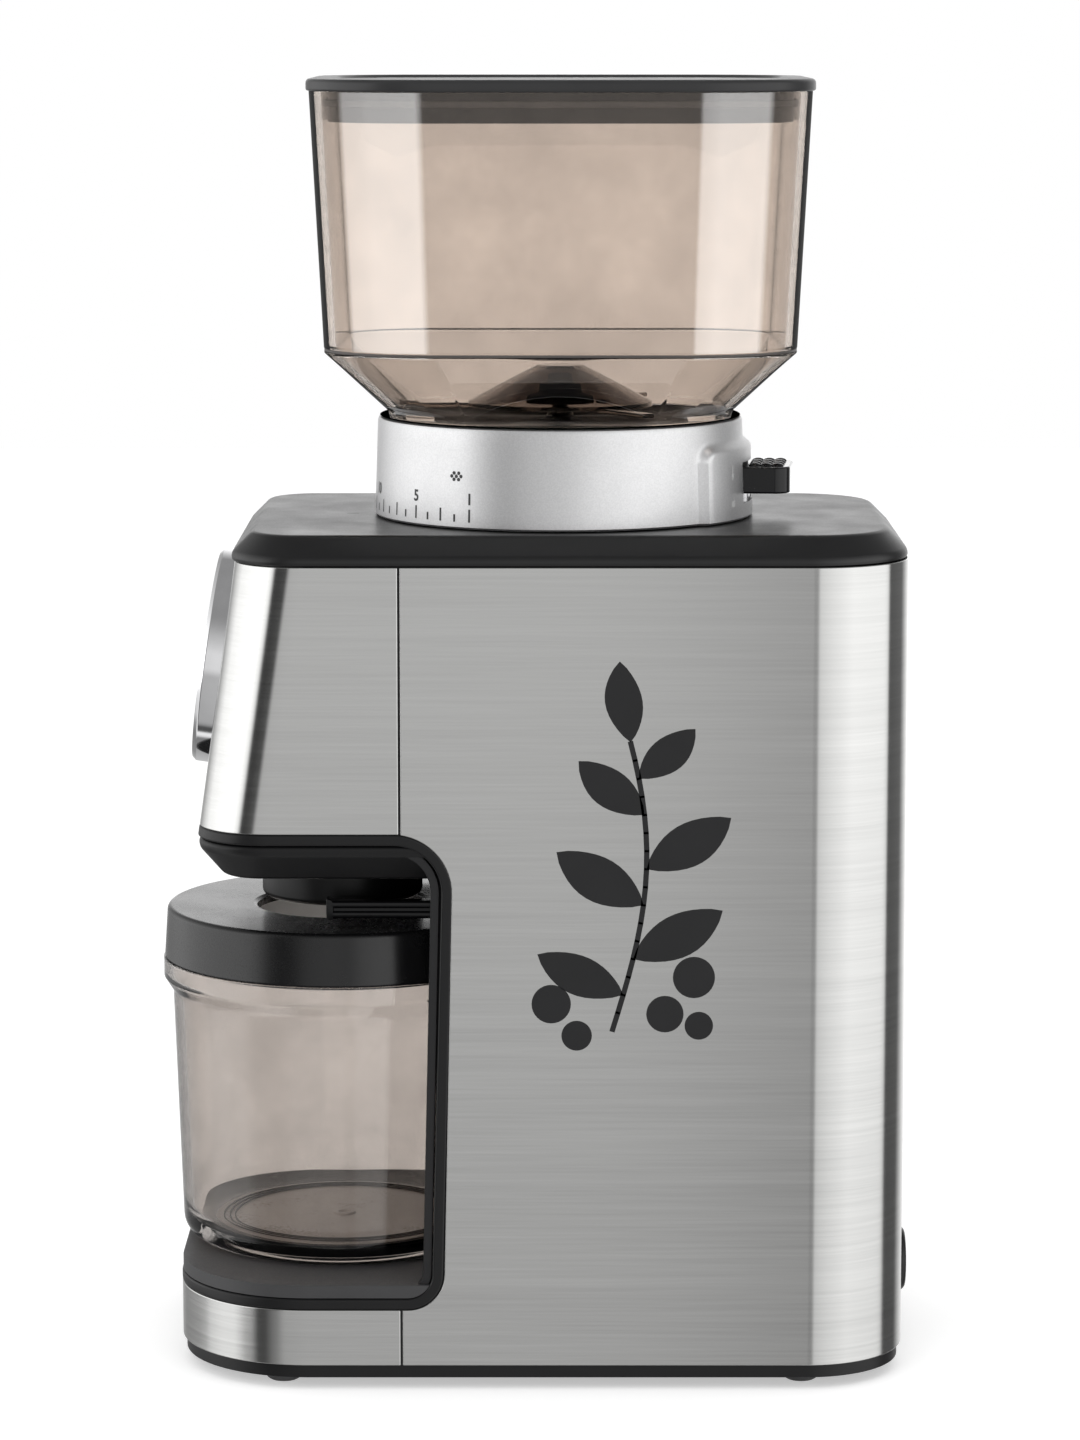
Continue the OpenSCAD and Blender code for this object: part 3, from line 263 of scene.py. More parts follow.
def join(objects):
    deselect_all()
    for obj in objects:
        obj.select_set(True)
    bpy.context.view_layer.objects.active = objects[0]
    bpy.ops.object.join()
    return objects[0]


def duplicate(obj):
    take(obj)
    bpy.ops.object.duplicate()
    return bpy.context.object


def ease(obj, width, segments=2, degrees=35):
    """Rounds the edges of a finished form that turn by more than some degrees."""
    return modify(obj, "BEVEL", width=width, segments=segments, limit_method="ANGLE",
                  angle_limit=math.radians(degrees), use_clamp_overlap=True, harden_normals=False, profile=0.5)


def bevel_edges(obj, test, width, steps=1):
    """Bevels just the edges that pass test(end, end)."""
    edit(obj, "EDGE")
    verts = obj.data.vertices
    for edge in obj.data.edges:
        edge.select = bool(test(*(verts[i].co for i in edge.vertices)))
    bpy.ops.object.mode_set(mode="EDIT")
    bpy.ops.mesh.bevel(offset=width, segments=steps, affect="EDGES", clamp_overlap=False)
    done_editing()


def above(z):
    """Test for edges that lie at a height or over it."""
    return lambda a, b: min(a.z, b.z) > z - NEAR


def below(z):
    """Test for edges that lie at a height or under it."""
    return lambda a, b: max(a.z, b.z) < z + NEAR


def smooth(obj, degrees):
    take(obj)
    bpy.ops.object.shade_smooth_by_angle(angle=math.radians(degrees))
    return modify(obj, "WEIGHTED_NORMAL", keep_sharp=True, weight=50)


def cube(low, high):
    centre = (Vector(low) + Vector(high)) / 2
    deselect_all()
    bpy.ops.mesh.primitive_cube_add(size=1, location=centre)
    obj = bpy.context.object
    obj.scale = Vector(high) - Vector(low)
    return settle(obj)


def upright(a, b):
    """True for an edge that stands upright."""
    return abs(a.x - b.x) < NEAR and abs(a.y - b.y) < NEAR and abs(a.z - b.z) > NEAR


def moved(obj, place, turn=Matrix()):
    """Turns a form about the origin, then moves it to a place."""
    obj.matrix_world = Matrix.Translation(place) @ turn @ obj.matrix_world
    return settle(obj)


def slab(width, y0, y1, z0, z1, front_r, back_r, steps=None):
    """Upright block whose front and back corners are rounded in plan."""
    obj = cube((-width / 2, y0, z0), (width / 2, y1, z1))
    for radius, side_y in ((front_r, y0), (back_r, y1)):
        bevel_edges(obj, lambda a, b: upright(a, b) and abs(a.y - side_y) < NEAR, radius, steps or sizes().segments)
    return obj


def can(radius, z0, z1, y=0.0):
    """Upright cylinder on the middle plane."""
    deselect_all()
    bpy.ops.mesh.primitive_cone_add(vertices=96, radius1=radius, radius2=radius, depth=z1 - z0,
                                    location=(0, y, (z0 + z1) / 2))
    return settle(bpy.context.object)


def fillet_path(points, steps=6):
    """Open path through (a, b, radius) points, each corner rounded by its radius."""
    path = []
    for i, (x, y, radius) in enumerate(points):
        here = Vector((x, y))
        if radius <= 0 or i in (0, len(points) - 1):
            path.append(here)
            continue
        before = (Vector(points[i - 1][:2]) - here).normalized()
        after = (Vector(points[i + 1][:2]) - here).normalized()
        half = before.angle(after) / 2
        reach = radius / math.tan(half)
        centre = here + (before + after).normalized() * radius / math.sin(half)
        start = here + before * reach - centre
        end = here + after * reach - centre
        turn = start.angle_signed(end)
        for k in range(steps + 1):
            arm = start.copy()
            arm.rotate(Matrix.Rotation(-turn * k / steps, 2))
            path.append(centre + arm)
    return path


def wire(points):
    """Mesh of one open wire, drawn by extruding a vertex from point to point."""
    deselect_all()
    bpy.ops.mesh.primitive_plane_add(size=0.001, location=points[0])
    obj = settle(bpy.context.object)
    bpy.ops.object.mode_set(mode="EDIT")
    bpy.ops.mesh.select_mode(type="VERT")
    bpy.ops.mesh.select_all(action="SELECT")
    bpy.ops.mesh.merge(type="CENTER")
    for a, b in zip(points, points[1:]):
        bpy.ops.mesh.extrude_region_move(TRANSFORM_OT_translate={"value": Vector(b) - Vector(a)})
    done_editing()
    return obj


def turned(profile, axis_y, steps):
    """Turned form: an (r, z) profile spun about an upright axis."""
    points = [(r, axis_y, z) for r, z in profile]
    obj = wire(points + points[:1])
    whole(bpy.ops.mesh.spin, steps=steps, angle=math.tau, center=(0, axis_y, 0), axis=(0, 0, 1))
    return outward(obj)


def loft(rings, close=False):
    """Skin through rings of equal count: a grid whose rows are laid on the rings, then welded at its seam."""
    rows = rings + rings[:1] if close else rings
    count = len(rings[0])
    deselect_all()
    bpy.ops.mesh.primitive_grid_add(x_subdivisions=count, y_subdivisions=len(rows) - 1, size=1)
    obj = bpy.context.object
    spots = [ring[k % count] for ring in rows for k in range(count + 1)]
    for vert, spot in zip(obj.data.vertices, spots, strict=True):
        vert.co = spot
    settle(obj)
    whole(bpy.ops.mesh.remove_doubles, threshold=WELD)
    return obj


# ---- shader groups: each puts out masks, values or normals that change over the surface ----

def new_group(name, **inputs):
    """Empty shader group from a vector and named values to a shade, a roughness and a height."""
    tree = bpy.data.node_groups.new(name, "ShaderNodeTree")
    tree.interface.new_socket(name="Vector", in_out="INPUT", socket_type="NodeSocketVector")
    for label, default in inputs.items():
        socket = tree.interface.new_socket(name=label.replace("_", " "), in_out="INPUT", socket_type="NodeSocketFloat")
        socket.default_value = default
    for label in ("Shade", "Roughness", "Height"):
        tree.interface.new_socket(name=label, in_out="OUTPUT", socket_type="NodeSocketFloat")
    return tree, tree.nodes.new("NodeGroupInput"), tree.nodes.new("NodeGroupOutput")


def feed(tree, socket, value):
    """Links another node's output to a socket, or sets the socket to a plain value."""
    if isinstance(value, bpy.types.NodeSocket):
        tree.links.new(value, socket)
    else:
        socket.default_value = value


def add_node(tree, kind, options=None, **inputs):
    """Adds a shader node, sets its options, then feeds its inputs, named with _ for spaces."""
    node = tree.nodes.new("ShaderNode" + kind)
    for key, value in (options or {}).items():
        setattr(node, key, value)
    for key, value in inputs.items():
        feed(tree, node.inputs[key.replace("_", " ")], value)
    return node


def math_node(tree, operation, a, b):
    node = tree.nodes.new("ShaderNodeMath")
    node.operation = operation
    feed(tree, node.inputs[0], a)
    feed(tree, node.inputs[1], b)
    return node.outputs[0]


def noise_node(tree, vector, scale, detail=3.0, roughness=0.55):
    return add_node(tree, "TexNoise", Vector=vector, Scale=scale, Detail=detail, Roughness=roughness).outputs["Fac"]


def map_range(tree, value, low, high, to_low, to_high):
    return add_node(tree, "MapRange", Value=value, From_Min=low, From_Max=high, To_Min=to_low,
                    To_Max=to_high).outputs["Result"]


def stretched(tree, vector, scale):
    return add_node(tree, "Mapping", Vector=vector, Scale=scale).outputs["Vector"]


def mix_colour(tree, factor, a, b, blend="MIX"):
    return add_node(tree, "Mix", {"data_type": "RGBA", "blend_type": blend}, Factor=factor, A=a,
                    B=b).outputs["Result"]


def group_brushing():
    """Streaks of brushed metal that run level round the body."""
    tree, given, out = new_group("brushing", Contrast=0.12)
    vector = given.outputs["Vector"]
    broad = noise_node(tree, stretched(tree, vector, (5, 5, 260)), 1.0, 2.0)
    middle = noise_node(tree, stretched(tree, vector, (14, 14, 900)), 1.0, 3.0)
    fine = noise_node(tree, stretched(tree, vector, (30, 30, 2600)), 1.0, 2.0)
    total = math_node(tree, "ADD", math_node(tree, "MULTIPLY", broad, 0.35), math_node(tree, "MULTIPLY", middle, 0.4))
    total = math_node(tree, "ADD", total, math_node(tree, "MULTIPLY", fine, 0.25))
    centred = math_node(tree, "SUBTRACT", total, 0.5)
    spread = math_node(tree, "MULTIPLY", centred, given.outputs["Contrast"])
    tree.links.new(math_node(tree, "ADD", math_node(tree, "MULTIPLY", spread, 4.0), 1.0), out.inputs["Shade"])
    tree.links.new(map_range(tree, total, 0.3, 0.7, 0.14, 0.2), out.inputs["Roughness"])
    tree.links.new(total, out.inputs["Height"])
    return tree


def group_grain():
    """Fine spark-eroded grain of moulded plastic with faint handling marks."""
    tree, given, out = new_group("moulded_grain", Scale=1800.0, Rough_Low=0.35, Rough_High=0.5)
    vector = given.outputs["Vector"]
    grain = noise_node(tree, vector, given.outputs["Scale"], 2.0)
    marks = noise_node(tree, vector, 45.0, 4.0, 0.6)
    blend = math_node(tree, "ADD", math_node(tree, "MULTIPLY", grain, 0.4), math_node(tree, "MULTIPLY", marks, 0.6))
    rough = map_range(tree, blend, 0.35, 0.65, given.outputs["Rough Low"], given.outputs["Rough High"])
    tree.links.new(rough, out.inputs["Roughness"])
    tree.links.new(grain, out.inputs["Height"])
    tree.links.new(map_range(tree, marks, 0.3, 0.7, 0.92, 1.08), out.inputs["Shade"])
    return tree


def group_flakes():
    """Metallic flakes of a silver paint."""
    tree, given, out = new_group("paint_flakes", Amount=0.1)
    vector = given.outputs["Vector"]
    cells = add_node(tree, "TexVoronoi", Vector=vector, Scale=2600.0)
    split = add_node(tree, "SeparateColor", Color=cells.outputs["Color"])
    spread = math_node(tree, "MULTIPLY", math_node(tree, "SUBTRACT", split.outputs[0], 0.5), given.outputs["Amount"])
    tree.links.new(math_node(tree, "ADD", spread, 1.0), out.inputs["Shade"])
    marks = noise_node(tree, vector, 60.0, 3.0)
    tree.links.new(map_range(tree, marks, 0.3, 0.7, 0.38, 0.44), out.inputs["Roughness"])
    tree.links.new(split.outputs[1], out.inputs["Height"])
    return tree


GROUPS = {}


def group(name):
    makers = {"brushing": group_brushing, "grain": group_grain, "flakes": group_flakes}
    if name not in GROUPS:
        GROUPS[name] = makers[name]()
    return GROUPS[name]


# ---- materials ----

def principled(name, **sockets):
    """Material with one Principled shader; sockets are given by their names with _ for spaces."""
    made = bpy.data.materials.new(name)
    made.use_nodes = True
    shader = made.node_tree.nodes["Principled BSDF"]
    for key, value in sockets.items():
        shader.inputs[key.replace("_", " ")].default_value = value
    return made, made.node_tree, shader


def place_group(tree, name, **values):
    """Places a shader group, fed by Object coordinates through its own Mapping node."""
    coords = add_node(tree, "TexCoord")
    mapping = add_node(tree, "Mapping", Vector=coords.outputs["Object"])
    return add_node(tree, "Group", {"node_tree": group(name)}, Vector=mapping.outputs["Vector"], **values)


def shade_by(tree, shader, colour, shade):
    """Multiplies the base colour by a shade that changes over the surface."""
    grey = add_node(tree, "CombineColor", Red=shade, Green=shade, Blue=shade)
    base = (*colour, 1.0) if isinstance(colour, tuple) else colour
    result = mix_colour(tree, 1.0, base, grey.outputs["Color"], "MULTIPLY")
    tree.links.new(result, shader.inputs["Base Color"])


def surface(name, colour, kind, values, depth, strength, **sockets):
    """Opaque material whose shade, roughness and bump come from one shader group."""
    made, tree, shader = principled(name, **sockets)
    texture = place_group(tree, kind, **values)
    shade_by(tree, shader, colour, texture.outputs["Shade"])
    tree.links.new(texture.outputs["Roughness"], shader.inputs["Roughness"])
    bump = add_node(tree, "Bump", Strength=strength, Distance=depth, Height=texture.outputs["Height"])
    tree.links.new(bump.outputs["Normal"], shader.inputs["Normal"])
    return made


def brushed(name, colour):
    made = surface(name, colour, "brushing", {}, 0.000006, 0.5, Metallic=1.0, Anisotropic=0.95,
                   Anisotropic_Rotation=0.25)
    tree = made.node_tree
    tangent = add_node(tree, "Tangent", {"direction_type": "RADIAL", "axis": "Z"})
    tree.links.new(tangent.outputs["Tangent"], tree.nodes["Principled BSDF"].inputs["Tangent"])
    return made


def moulded(name, colour, low, high, grain=1800.0, depth=0.00001, coat=0.0, gleam=0.35):
    return surface(name, colour, "grain", {"Scale": grain, "Rough_Low": low, "Rough_High": high}, depth, 0.6,
                   Coat_Weight=coat, Coat_Roughness=0.12, Specular_IOR_Level=gleam)


def metal(name, colour, low, high, depth=0.000004, grain=700.0):
    return surface(name, colour, "grain", {"Scale": grain, "Rough_Low": low, "Rough_High": high}, depth, 0.5,
                   Metallic=1.0)


def clear(name, tint, edge, coat=1.65, soft=0.0):
    """Clear tinted plastic, darker where it is looked at edge-on, with a faint unevenness in its tint."""
    made, tree, shader = principled(name, Transmission_Weight=1.0, IOR=1.12, Roughness=0.0,
                                    Coat_Weight=1.0, Coat_IOR=coat, Coat_Roughness=soft)
    facing = add_node(tree, "LayerWeight", Blend=0.5)
    edge_on = map_range(tree, facing.outputs["Facing"], 0.62, 0.9, 0.0, 1.0)
    haze = place_group(tree, "grain")
    shade_by(tree, shader, mix_colour(tree, edge_on, (*tint, 1.0), (*edge, 1.0)), haze.outputs["Shade"])
    return made


MATERIALS = {}


def make_materials():
    c = colours()
    smoke = tuple(c.smoke)
    jar_smoke = tuple(c.jar_smoke)
    MATERIALS.update({
        "brushed_skin": brushed("brushed_steel", tuple(c.steel)),
        "black_satin": moulded("satin_black", tuple(c.satin), 0.34, 0.46),
        "deck_black": moulded("deck_black", tuple(c.satin), 0.3, 0.42, gleam=0.5),
        "black_matte": moulded("matte_black", (0.016, 0.016, 0.017), 0.5, 0.62, 1400.0, 0.00002),
        "black_gloss": moulded("gloss_black", tuple(c.gloss), 0.08, 0.16, 900.0, 0.000002, 0.0, 0.3),
        "grey_satin": moulded("platform_grey", tuple(c.grey), 0.38, 0.5),
        "lid_black": moulded("lid_black", tuple(c.satin), 0.22, 0.3, 1400.0, 0.000006, gleam=0.5),
        "lid_grey": moulded("lid_grey", (0.03, 0.03, 0.031), 0.3, 0.42),
        "silver_paint": surface("silver_paint", tuple(c.silver), "flakes", {}, 0.000002, 0.3, Metallic=0.8),
        "chrome_trim": metal("bright_chrome", (0.82, 0.82, 0.83), 0.04, 0.09, 0.000001),
        "smoked_clear": clear("smoked_clear", smoke, tuple(0.35 * v for v in smoke)),
        "jar_clear": clear("jar_clear", jar_smoke, tuple(0.5 * v for v in jar_smoke), 1.5, 0.03),
        "guard_clear": clear("guard_clear", (0.25, 0.215, 0.195), (0.09, 0.075, 0.07), 1.12),
        # The jar floor pad's pale tone is painted light: it stands in for the light that shows through the clear floor
        # of the jar
        "jar_floor_painted_light": moulded("jar_floor_painted_light", (0.6, 0.54, 0.5), 0.25, 0.35, 900.0, 0.000004),
        "gasket_white": moulded("gasket_white", (0.8, 0.8, 0.79), 0.4, 0.5),
        "burr_steel": metal("ground_steel", (0.58, 0.58, 0.59), 0.2, 0.34, 0.00001, 1100.0),
        "cast_alloy": metal("cast_alloy", (0.5, 0.5, 0.51), 0.4, 0.55, 0.00003, 900.0),
        "gear_plastic": moulded("nylon", (0.72, 0.68, 0.58), 0.35, 0.5),
        "pinion_brass": metal("brass", (0.72, 0.52, 0.22), 0.2, 0.32),
        "motor_plate": metal("zinc_plate", (0.48, 0.49, 0.5), 0.28, 0.42),
        "foot_rubber": moulded("foot_rubber", (0.11, 0.11, 0.112), 0.6, 0.75, 1200.0, 0.00003),
        "board": moulded("board_green", (0.02, 0.11, 0.045), 0.25, 0.35),
        "ink_dark": moulded("printed_black", (0.014, 0.014, 0.015), 0.3, 0.42, 2200.0),
        "ink_grey": moulded("printed_grey", (0.05, 0.05, 0.052), 0.4, 0.5),
        "ink_white": moulded("printed_white", (0.72, 0.72, 0.72), 0.4, 0.5),
        "ink_ghost": moulded("printed_smoke", (0.10, 0.09, 0.085), 0.4, 0.5),
        "display_glass": moulded("display_glass", (0.012, 0.016, 0.022), 0.05, 0.1, 900.0, 0.000001, 0.5),
        "display_glow": moulded("display_glow", (0.35, 0.6, 0.75), 0.3, 0.4),
    })


# ---- finishing a piece ----

def dress(obj, material):
    """Gives a mesh one material."""
    obj.data.materials.clear()
    obj.data.materials.append(MATERIALS[material])


def finish_piece(obj, name, material, body, replaces=(), angle=38, tidy=True):
    """Names a finished form, shades it, gives it its material and hands it to its body."""
    settle(obj)
    if tidy:
        outward(obj)
    obj.name = name
    obj.data.name = name
    dress(obj, material)
    smooth(obj, angle)
    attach(obj, body)
    if replaces:
        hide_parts(*replaces)
    return obj


def cad_copy(node):
    """Copy of a CAD solid with its triangles merged into flat faces, ready to be shaped."""
    obj = duplicate(NODES[node])
    bpy.ops.object.parent_clear(type="CLEAR_KEEP_TRANSFORM")
    for key in list(obj.keys()):
        del obj[key]
    whole(bpy.ops.mesh.remove_doubles, threshold=2 * WELD)
    whole(bpy.ops.mesh.dissolve_limited, angle_limit=math.radians(0.6))
    return obj


def finish_copy(node, name, material, width, segments=2, degrees=35, body="body", angle=30):
    """Finishes a copy of a CAD solid with eased edges in the solid's own place."""
    piece = ease(cad_copy(node), width, segments, degrees)
    return finish_piece(piece, name, material, body, [node], angle, tidy=False)


def keep_faces(obj, test):
    """Deletes the faces that fail test(centre, normal)."""
    if pick_faces(obj, lambda centre, normal: not test(centre, normal)):
        bpy.ops.mesh.delete(type="FACE")
    done_editing()


def slice_off(obj, point, normal):
    """Cuts along a plane, drops what lies on the normal's side and closes the cut."""
    take(obj)
    whole(bpy.ops.mesh.bisect, plane_co=point, plane_no=normal, use_fill=True, clear_outer=True, threshold=NEAR)
    return obj


def side_prism(outline, x0, x1):
    """Solid whose side view is the closed outline of (y, z) points, from x0 to x1."""
    deselect_all()
    bpy.ops.mesh.primitive_circle_add(vertices=len(outline), radius=1, fill_type="NGON")
    obj = bpy.context.object
    for vert, (y, z) in zip(obj.data.vertices, outline):
        vert.co = (x0, y, z)
    whole(bpy.ops.mesh.extrude_region_move, TRANSFORM_OT_translate={"value": (x1 - x0, 0, 0)})
    return outward(settle(obj))


# ---- body ----

SKIN_INSET = 0.00004
BAY_TOP_R = 0.0175
BAY_FOOT_R = 0.011
FAR_FRONT_Y = -0.15
COLUMN_TOP_Y = BOX["bay_trim"][1].y
COLUMN_FOOT_Y = COLUMN_TOP_Y - 0.003


def bay_outline(inset):
    """Side outline of the bay, inset inside the opening in the skins."""
    return fillet_path([
        (FAR_FRONT_Y, BAY_HIGH_Z - inset, 0), (COLUMN_TOP_Y - inset, BAY_HIGH_Z - inset, BAY_TOP_R - inset),
        (COLUMN_FOOT_Y - inset, BAY_LOW_Z + inset, BAY_FOOT_R - inset), (FAR_FRONT_Y, BAY_LOW_Z + inset, 0)], 14)


def bay_block(inset, half_width=BODY_W):
    return side_prism(bay_outline(inset), -half_width, half_width)


def head_front_y(z):
    """Front face of the leaning head at a height."""
    low = BOX["head_skin"][0]
    return low.y + (z - low.z) * math.tan(sizes().head_lean)


def lean_block(inset, z0, z1, back_y):
    """Leaning front block of the head between two heights, up to back_y."""
    top_y = head_front_y(SKIN_TOP_Z)
    radius = sizes().head_corner_r - inset
    obj = slab(BODY_W - 2 * inset, top_y + inset, top_y + 0.12, SKIN_TOP_Z - 0.15, SKIN_TOP_Z + 0.05, radius, radius)
    take(obj)
    obj.matrix_world = (Matrix.Translation((0, top_y, SKIN_TOP_Z)) @ Matrix.Rotation(-sizes().head_lean, 4, "X")
                        @ Matrix.Translation((0, -top_y, -SKIN_TOP_Z)))
    settle(obj)
    slice_off(obj, (0, 0, z0), (0, 0, -1))
    slice_off(obj, (0, 0, z1), (0, 0, 1))
    return slice_off(obj, (0, back_y, 0), (0, 1, 0))


def panel_frame():
    """Matrix whose Z runs out of the head along the panel's axis, from the head's face."""
    z = mid("panel_bezel").z
    centre_z = z + 0.0005
    turn = Matrix.Rotation(math.pi / 2 - sizes().head_lean, 4, "X")
    return Matrix.Translation((0, head_front_y(centre_z), centre_z)) @ turn


def sheet_of(obj, test):
    """Turns a solid into a steel sheet: keeps its outer faces, then gives them a thickness inwards."""
    keep_faces(obj, test)
    modify(obj, "SOLIDIFY", thickness=sizes().steel_t, offset=-1.0, use_even_offset=True)
    ease(obj, 0.00035, 3)


class GRINDER_OT_skins(bpy.types.Operator):
    """Builds the brushed steel skins of the body"""

    bl_idname = "grinder.skins"
    bl_label = "Steel Skins"

    def execute(self, context):
        r = sizes().corner_r
        width = BODY_W - 2 * SKIN_INSET

        rear = slab(width, FRONT_Y + SKIN_INSET, BACK_Y - SKIN_INSET, SKIN_LOW_Z, SKIN_TOP_Z, r, r)
        slice_off(rear, (0, SEAM_BACK_Y, 0), (0, -1, 0))
        cut(rear, bay_block(0))
        gland = mid("cord_gland")
        gland_r = 0.008
        hole = can(gland_r, -0.01, 0.01)
        cut(rear, moved(hole, (0, BACK_Y, gland.z), Matrix.Rotation(math.pi / 2, 4, "X")))
        flat_half = BODY_W / 2 - r - 0.0005
        sheet_of(rear, lambda c, n: abs(n.z) < 0.3 and (abs(c.x) > flat_half or c.y > 0.05)
                 and not (abs(c.x) < gland_r + 0.001 and abs(n.y) < 0.99 and c.z < 0.04)
                 and c.y > SEAM_BACK_Y + 0.0001 and not (n.y < -0.5 and c.y < 0))
        finish_piece(rear, "rear_steel_skin", "brushed_skin", "body", ["rear_skin"], 30)

        front_r = sizes().base_corner_r
        base = slab(width, FRONT_Y + SKIN_INSET, BACK_Y, SKIN_LOW_Z, BAY_LOW_Z, front_r, r, 28)
        slice_off(base, (0, SEAM_FRONT_Y, 0), (0, 1, 0))
        sheet_of(base, lambda c, n: abs(n.z) < 0.3 and c.y < SEAM_FRONT_Y - 0.0001)
        finish_piece(base, "base_steel_skin", "brushed_skin", "body", ["base_skin"], 30)

        head = lean_block(SKIN_INSET, BAY_HIGH_Z, SKIN_TOP_Z, SEAM_FRONT_Y)
        panel_r = 0.030
        hole = can(panel_r, -0.02, 0.02)
        hole.matrix_world = panel_frame()
        cut(head, settle(hole))
        sheet_of(head, lambda c, n: abs(n.z) < 0.5 and c.y < SEAM_FRONT_Y - 0.0001
                 and (abs(c.x) > panel_r + 0.0005 or n.y < -0.9))
        finish_piece(head, "head_steel_skin", "brushed_skin", "body", ["head_skin"], 30)
        return {"FINISHED"}


class GRINDER_OT_trim(bpy.types.Operator):
    """Builds the black mouldings: top cap, bay trim, pan under the head, platform, liner and base plate"""

    bl_idname = "grinder.trim"
    bl_label = "Black Mouldings"

    def liner_edge(self, side):
        """Inner edge of the bay's wall, that follows the trim round the upper corner and down the column."""
        outer = sizes().trim_w + 0.0003
        edge = bay_block(outer, BODY_W / 2 - 0.0014)
        cut(edge, bay_block(outer + 0.0026))
        slice_off(edge, (0, COLUMN_TOP_Y - BAY_TOP_R - 0.004, 0), (0, -1, 0))
        slice_off(edge, (side * (BODY_W / 2 - 0.0054), 0, 0), (-side, 0, 0))
        return ease(edge, 0.0005, 2)

    def execute(self, context):
        low, high = BOX["top_cap"]
        band = 0.0026
        slope = DECK_Z - SKIN_TOP_Z - band
        cap = slab(BODY_W, low.y, high.y, SKIN_TOP_Z, DECK_Z, sizes().head_corner_r, sizes().corner_r)
        bevel_edges(cap, above(DECK_Z), slope)
        ease(cap, 0.0011, 3, 24)
        boss_r, bore_r = 0.0496, 0.0472
        fuse(cap, can(boss_r, DECK_Z - 0.001, DECK_Z + 0.005, BURR_Y))
        cut(cap, can(bore_r, SKIN_TOP_Z - 0.01, DECK_Z + 0.02, BURR_Y))
        finish_piece(cap, "top_deck_cap", "deck_black", "body", ["top_cap"], 20)

        dash_y = BURR_Y - 0.0648
        dash = cube((-0.00025, dash_y, DECK_Z - 0.0001), (0.00025, dash_y + 0.0036, DECK_Z + 0.00003))
        finish_piece(dash, "deck_pointer_mark", "ink_grey", "body")

        finish_copy("bay_trim", "bay_edge_trim", "black_satin", 0.0007, 3)

        low, high = BOX["head_pan"]
        floor_z, rim_z = low.z, high.z
        back_y = COLUMN_TOP_Y - 0.006
        pan = lean_block(0.0006, floor_z, rim_z, back_y)
        bevel_edges(pan, lambda a, b: below(floor_z)(a, b) and min(a.y, b.y) <= back_y - 0.0001, 0.0088)
        ease(pan, 0.0022, 4, 24)
        spout_hole_r = 0.0247
        cut(pan, can(spout_hole_r, floor_z - 0.01, rim_z + 0.01, JAR_Y))
        finish_piece(pan, "head_under_pan", "black_satin", "body", ["head_pan"], 24)

        low, high = BOX["jar_platform"]
        front_r = sizes().base_corner_r - 0.0003
        rest = slab(BODY_W - 0.0006, FRONT_Y + 0.0003, COLUMN_TOP_Y, low.z, high.z, front_r, 0.0005, 28)
        keep_inside(rest, bay_block(sizes().trim_w + 0.0002))
        nose = can(0.0579, low.z, high.z, JAR_Y)
        fuse(rest, keep_inside(nose, cube((-0.1, JAR_Y, 0), (0.1, 0.1, 0.1))))
        ease(rest, 0.0034, 6, 50)
        finish_piece(rest, "jar_rest", "grey_satin", "body", ["jar_platform"], 30)

        liner = join([ease(cad_copy("bay_liner"), 0.0003, 1), *(self.liner_edge(side) for side in (-1, 1))])
        finish_piece(liner, "bay_inner_liner", "black_matte", "body", ["bay_liner"], 30, tidy=False)

        finish_copy("base_plate", "base_tray", "black_satin", 0.0005)
        return {"FINISHED"}


# ---- hopper ----

CORNER_STEPS = 48
BEND_STEPS = 5
NECK_R = 0.0552
TUB_CORNER = 0.036


def plan_ring(width, depth, radius, z, centre_y=0.0):
    """Ring of points round a rounded rectangle at one height."""
    ring = []
    for quarter, (sx, sy) in enumerate(((1, 1), (-1, 1), (-1, -1), (1, -1))):
        cx = sx * (width / 2 - radius)
        cy = centre_y + sy * (depth / 2 - radius)
        for k in range(CORNER_STEPS + 1):
            a = math.radians(90 * quarter + 90 * k / CORNER_STEPS)
            ring.append((cx + radius * math.cos(a), cy + radius * math.sin(a), z))
    return ring


def round_ring(radius, z, like, centre_y):
    """Circle whose points lie in the same directions as those of another ring."""
    ring = []
    for x, y, _ in like:
        a = math.atan2(y - centre_y, x)
        ring.append((radius * math.cos(a), centre_y + radius * math.sin(a), z))
    return ring


def between(a, b, t):
    """Ring part of the way from one ring to another."""
    return [tuple(p + (q - p) * t for p, q in zip(u, v)) for u, v in zip(a, b)]


def eased_corner(under, corner, over, reach_low, reach_high):
    """Rings of a soft bend at corner, between the ring under it and the ring over it."""
    start = between(corner, under, reach_low)
    end = between(corner, over, reach_high)
    return [between(between(start, corner, t), between(corner, end, t), t)
            for t in (k / BEND_STEPS for k in range(BEND_STEPS + 1))]


def tube_of(outer, inner):
    """Closed wall between an outer and an inner run of rings, both from the bottom up."""
    return outward(loft(outer + inner[::-1], close=True))


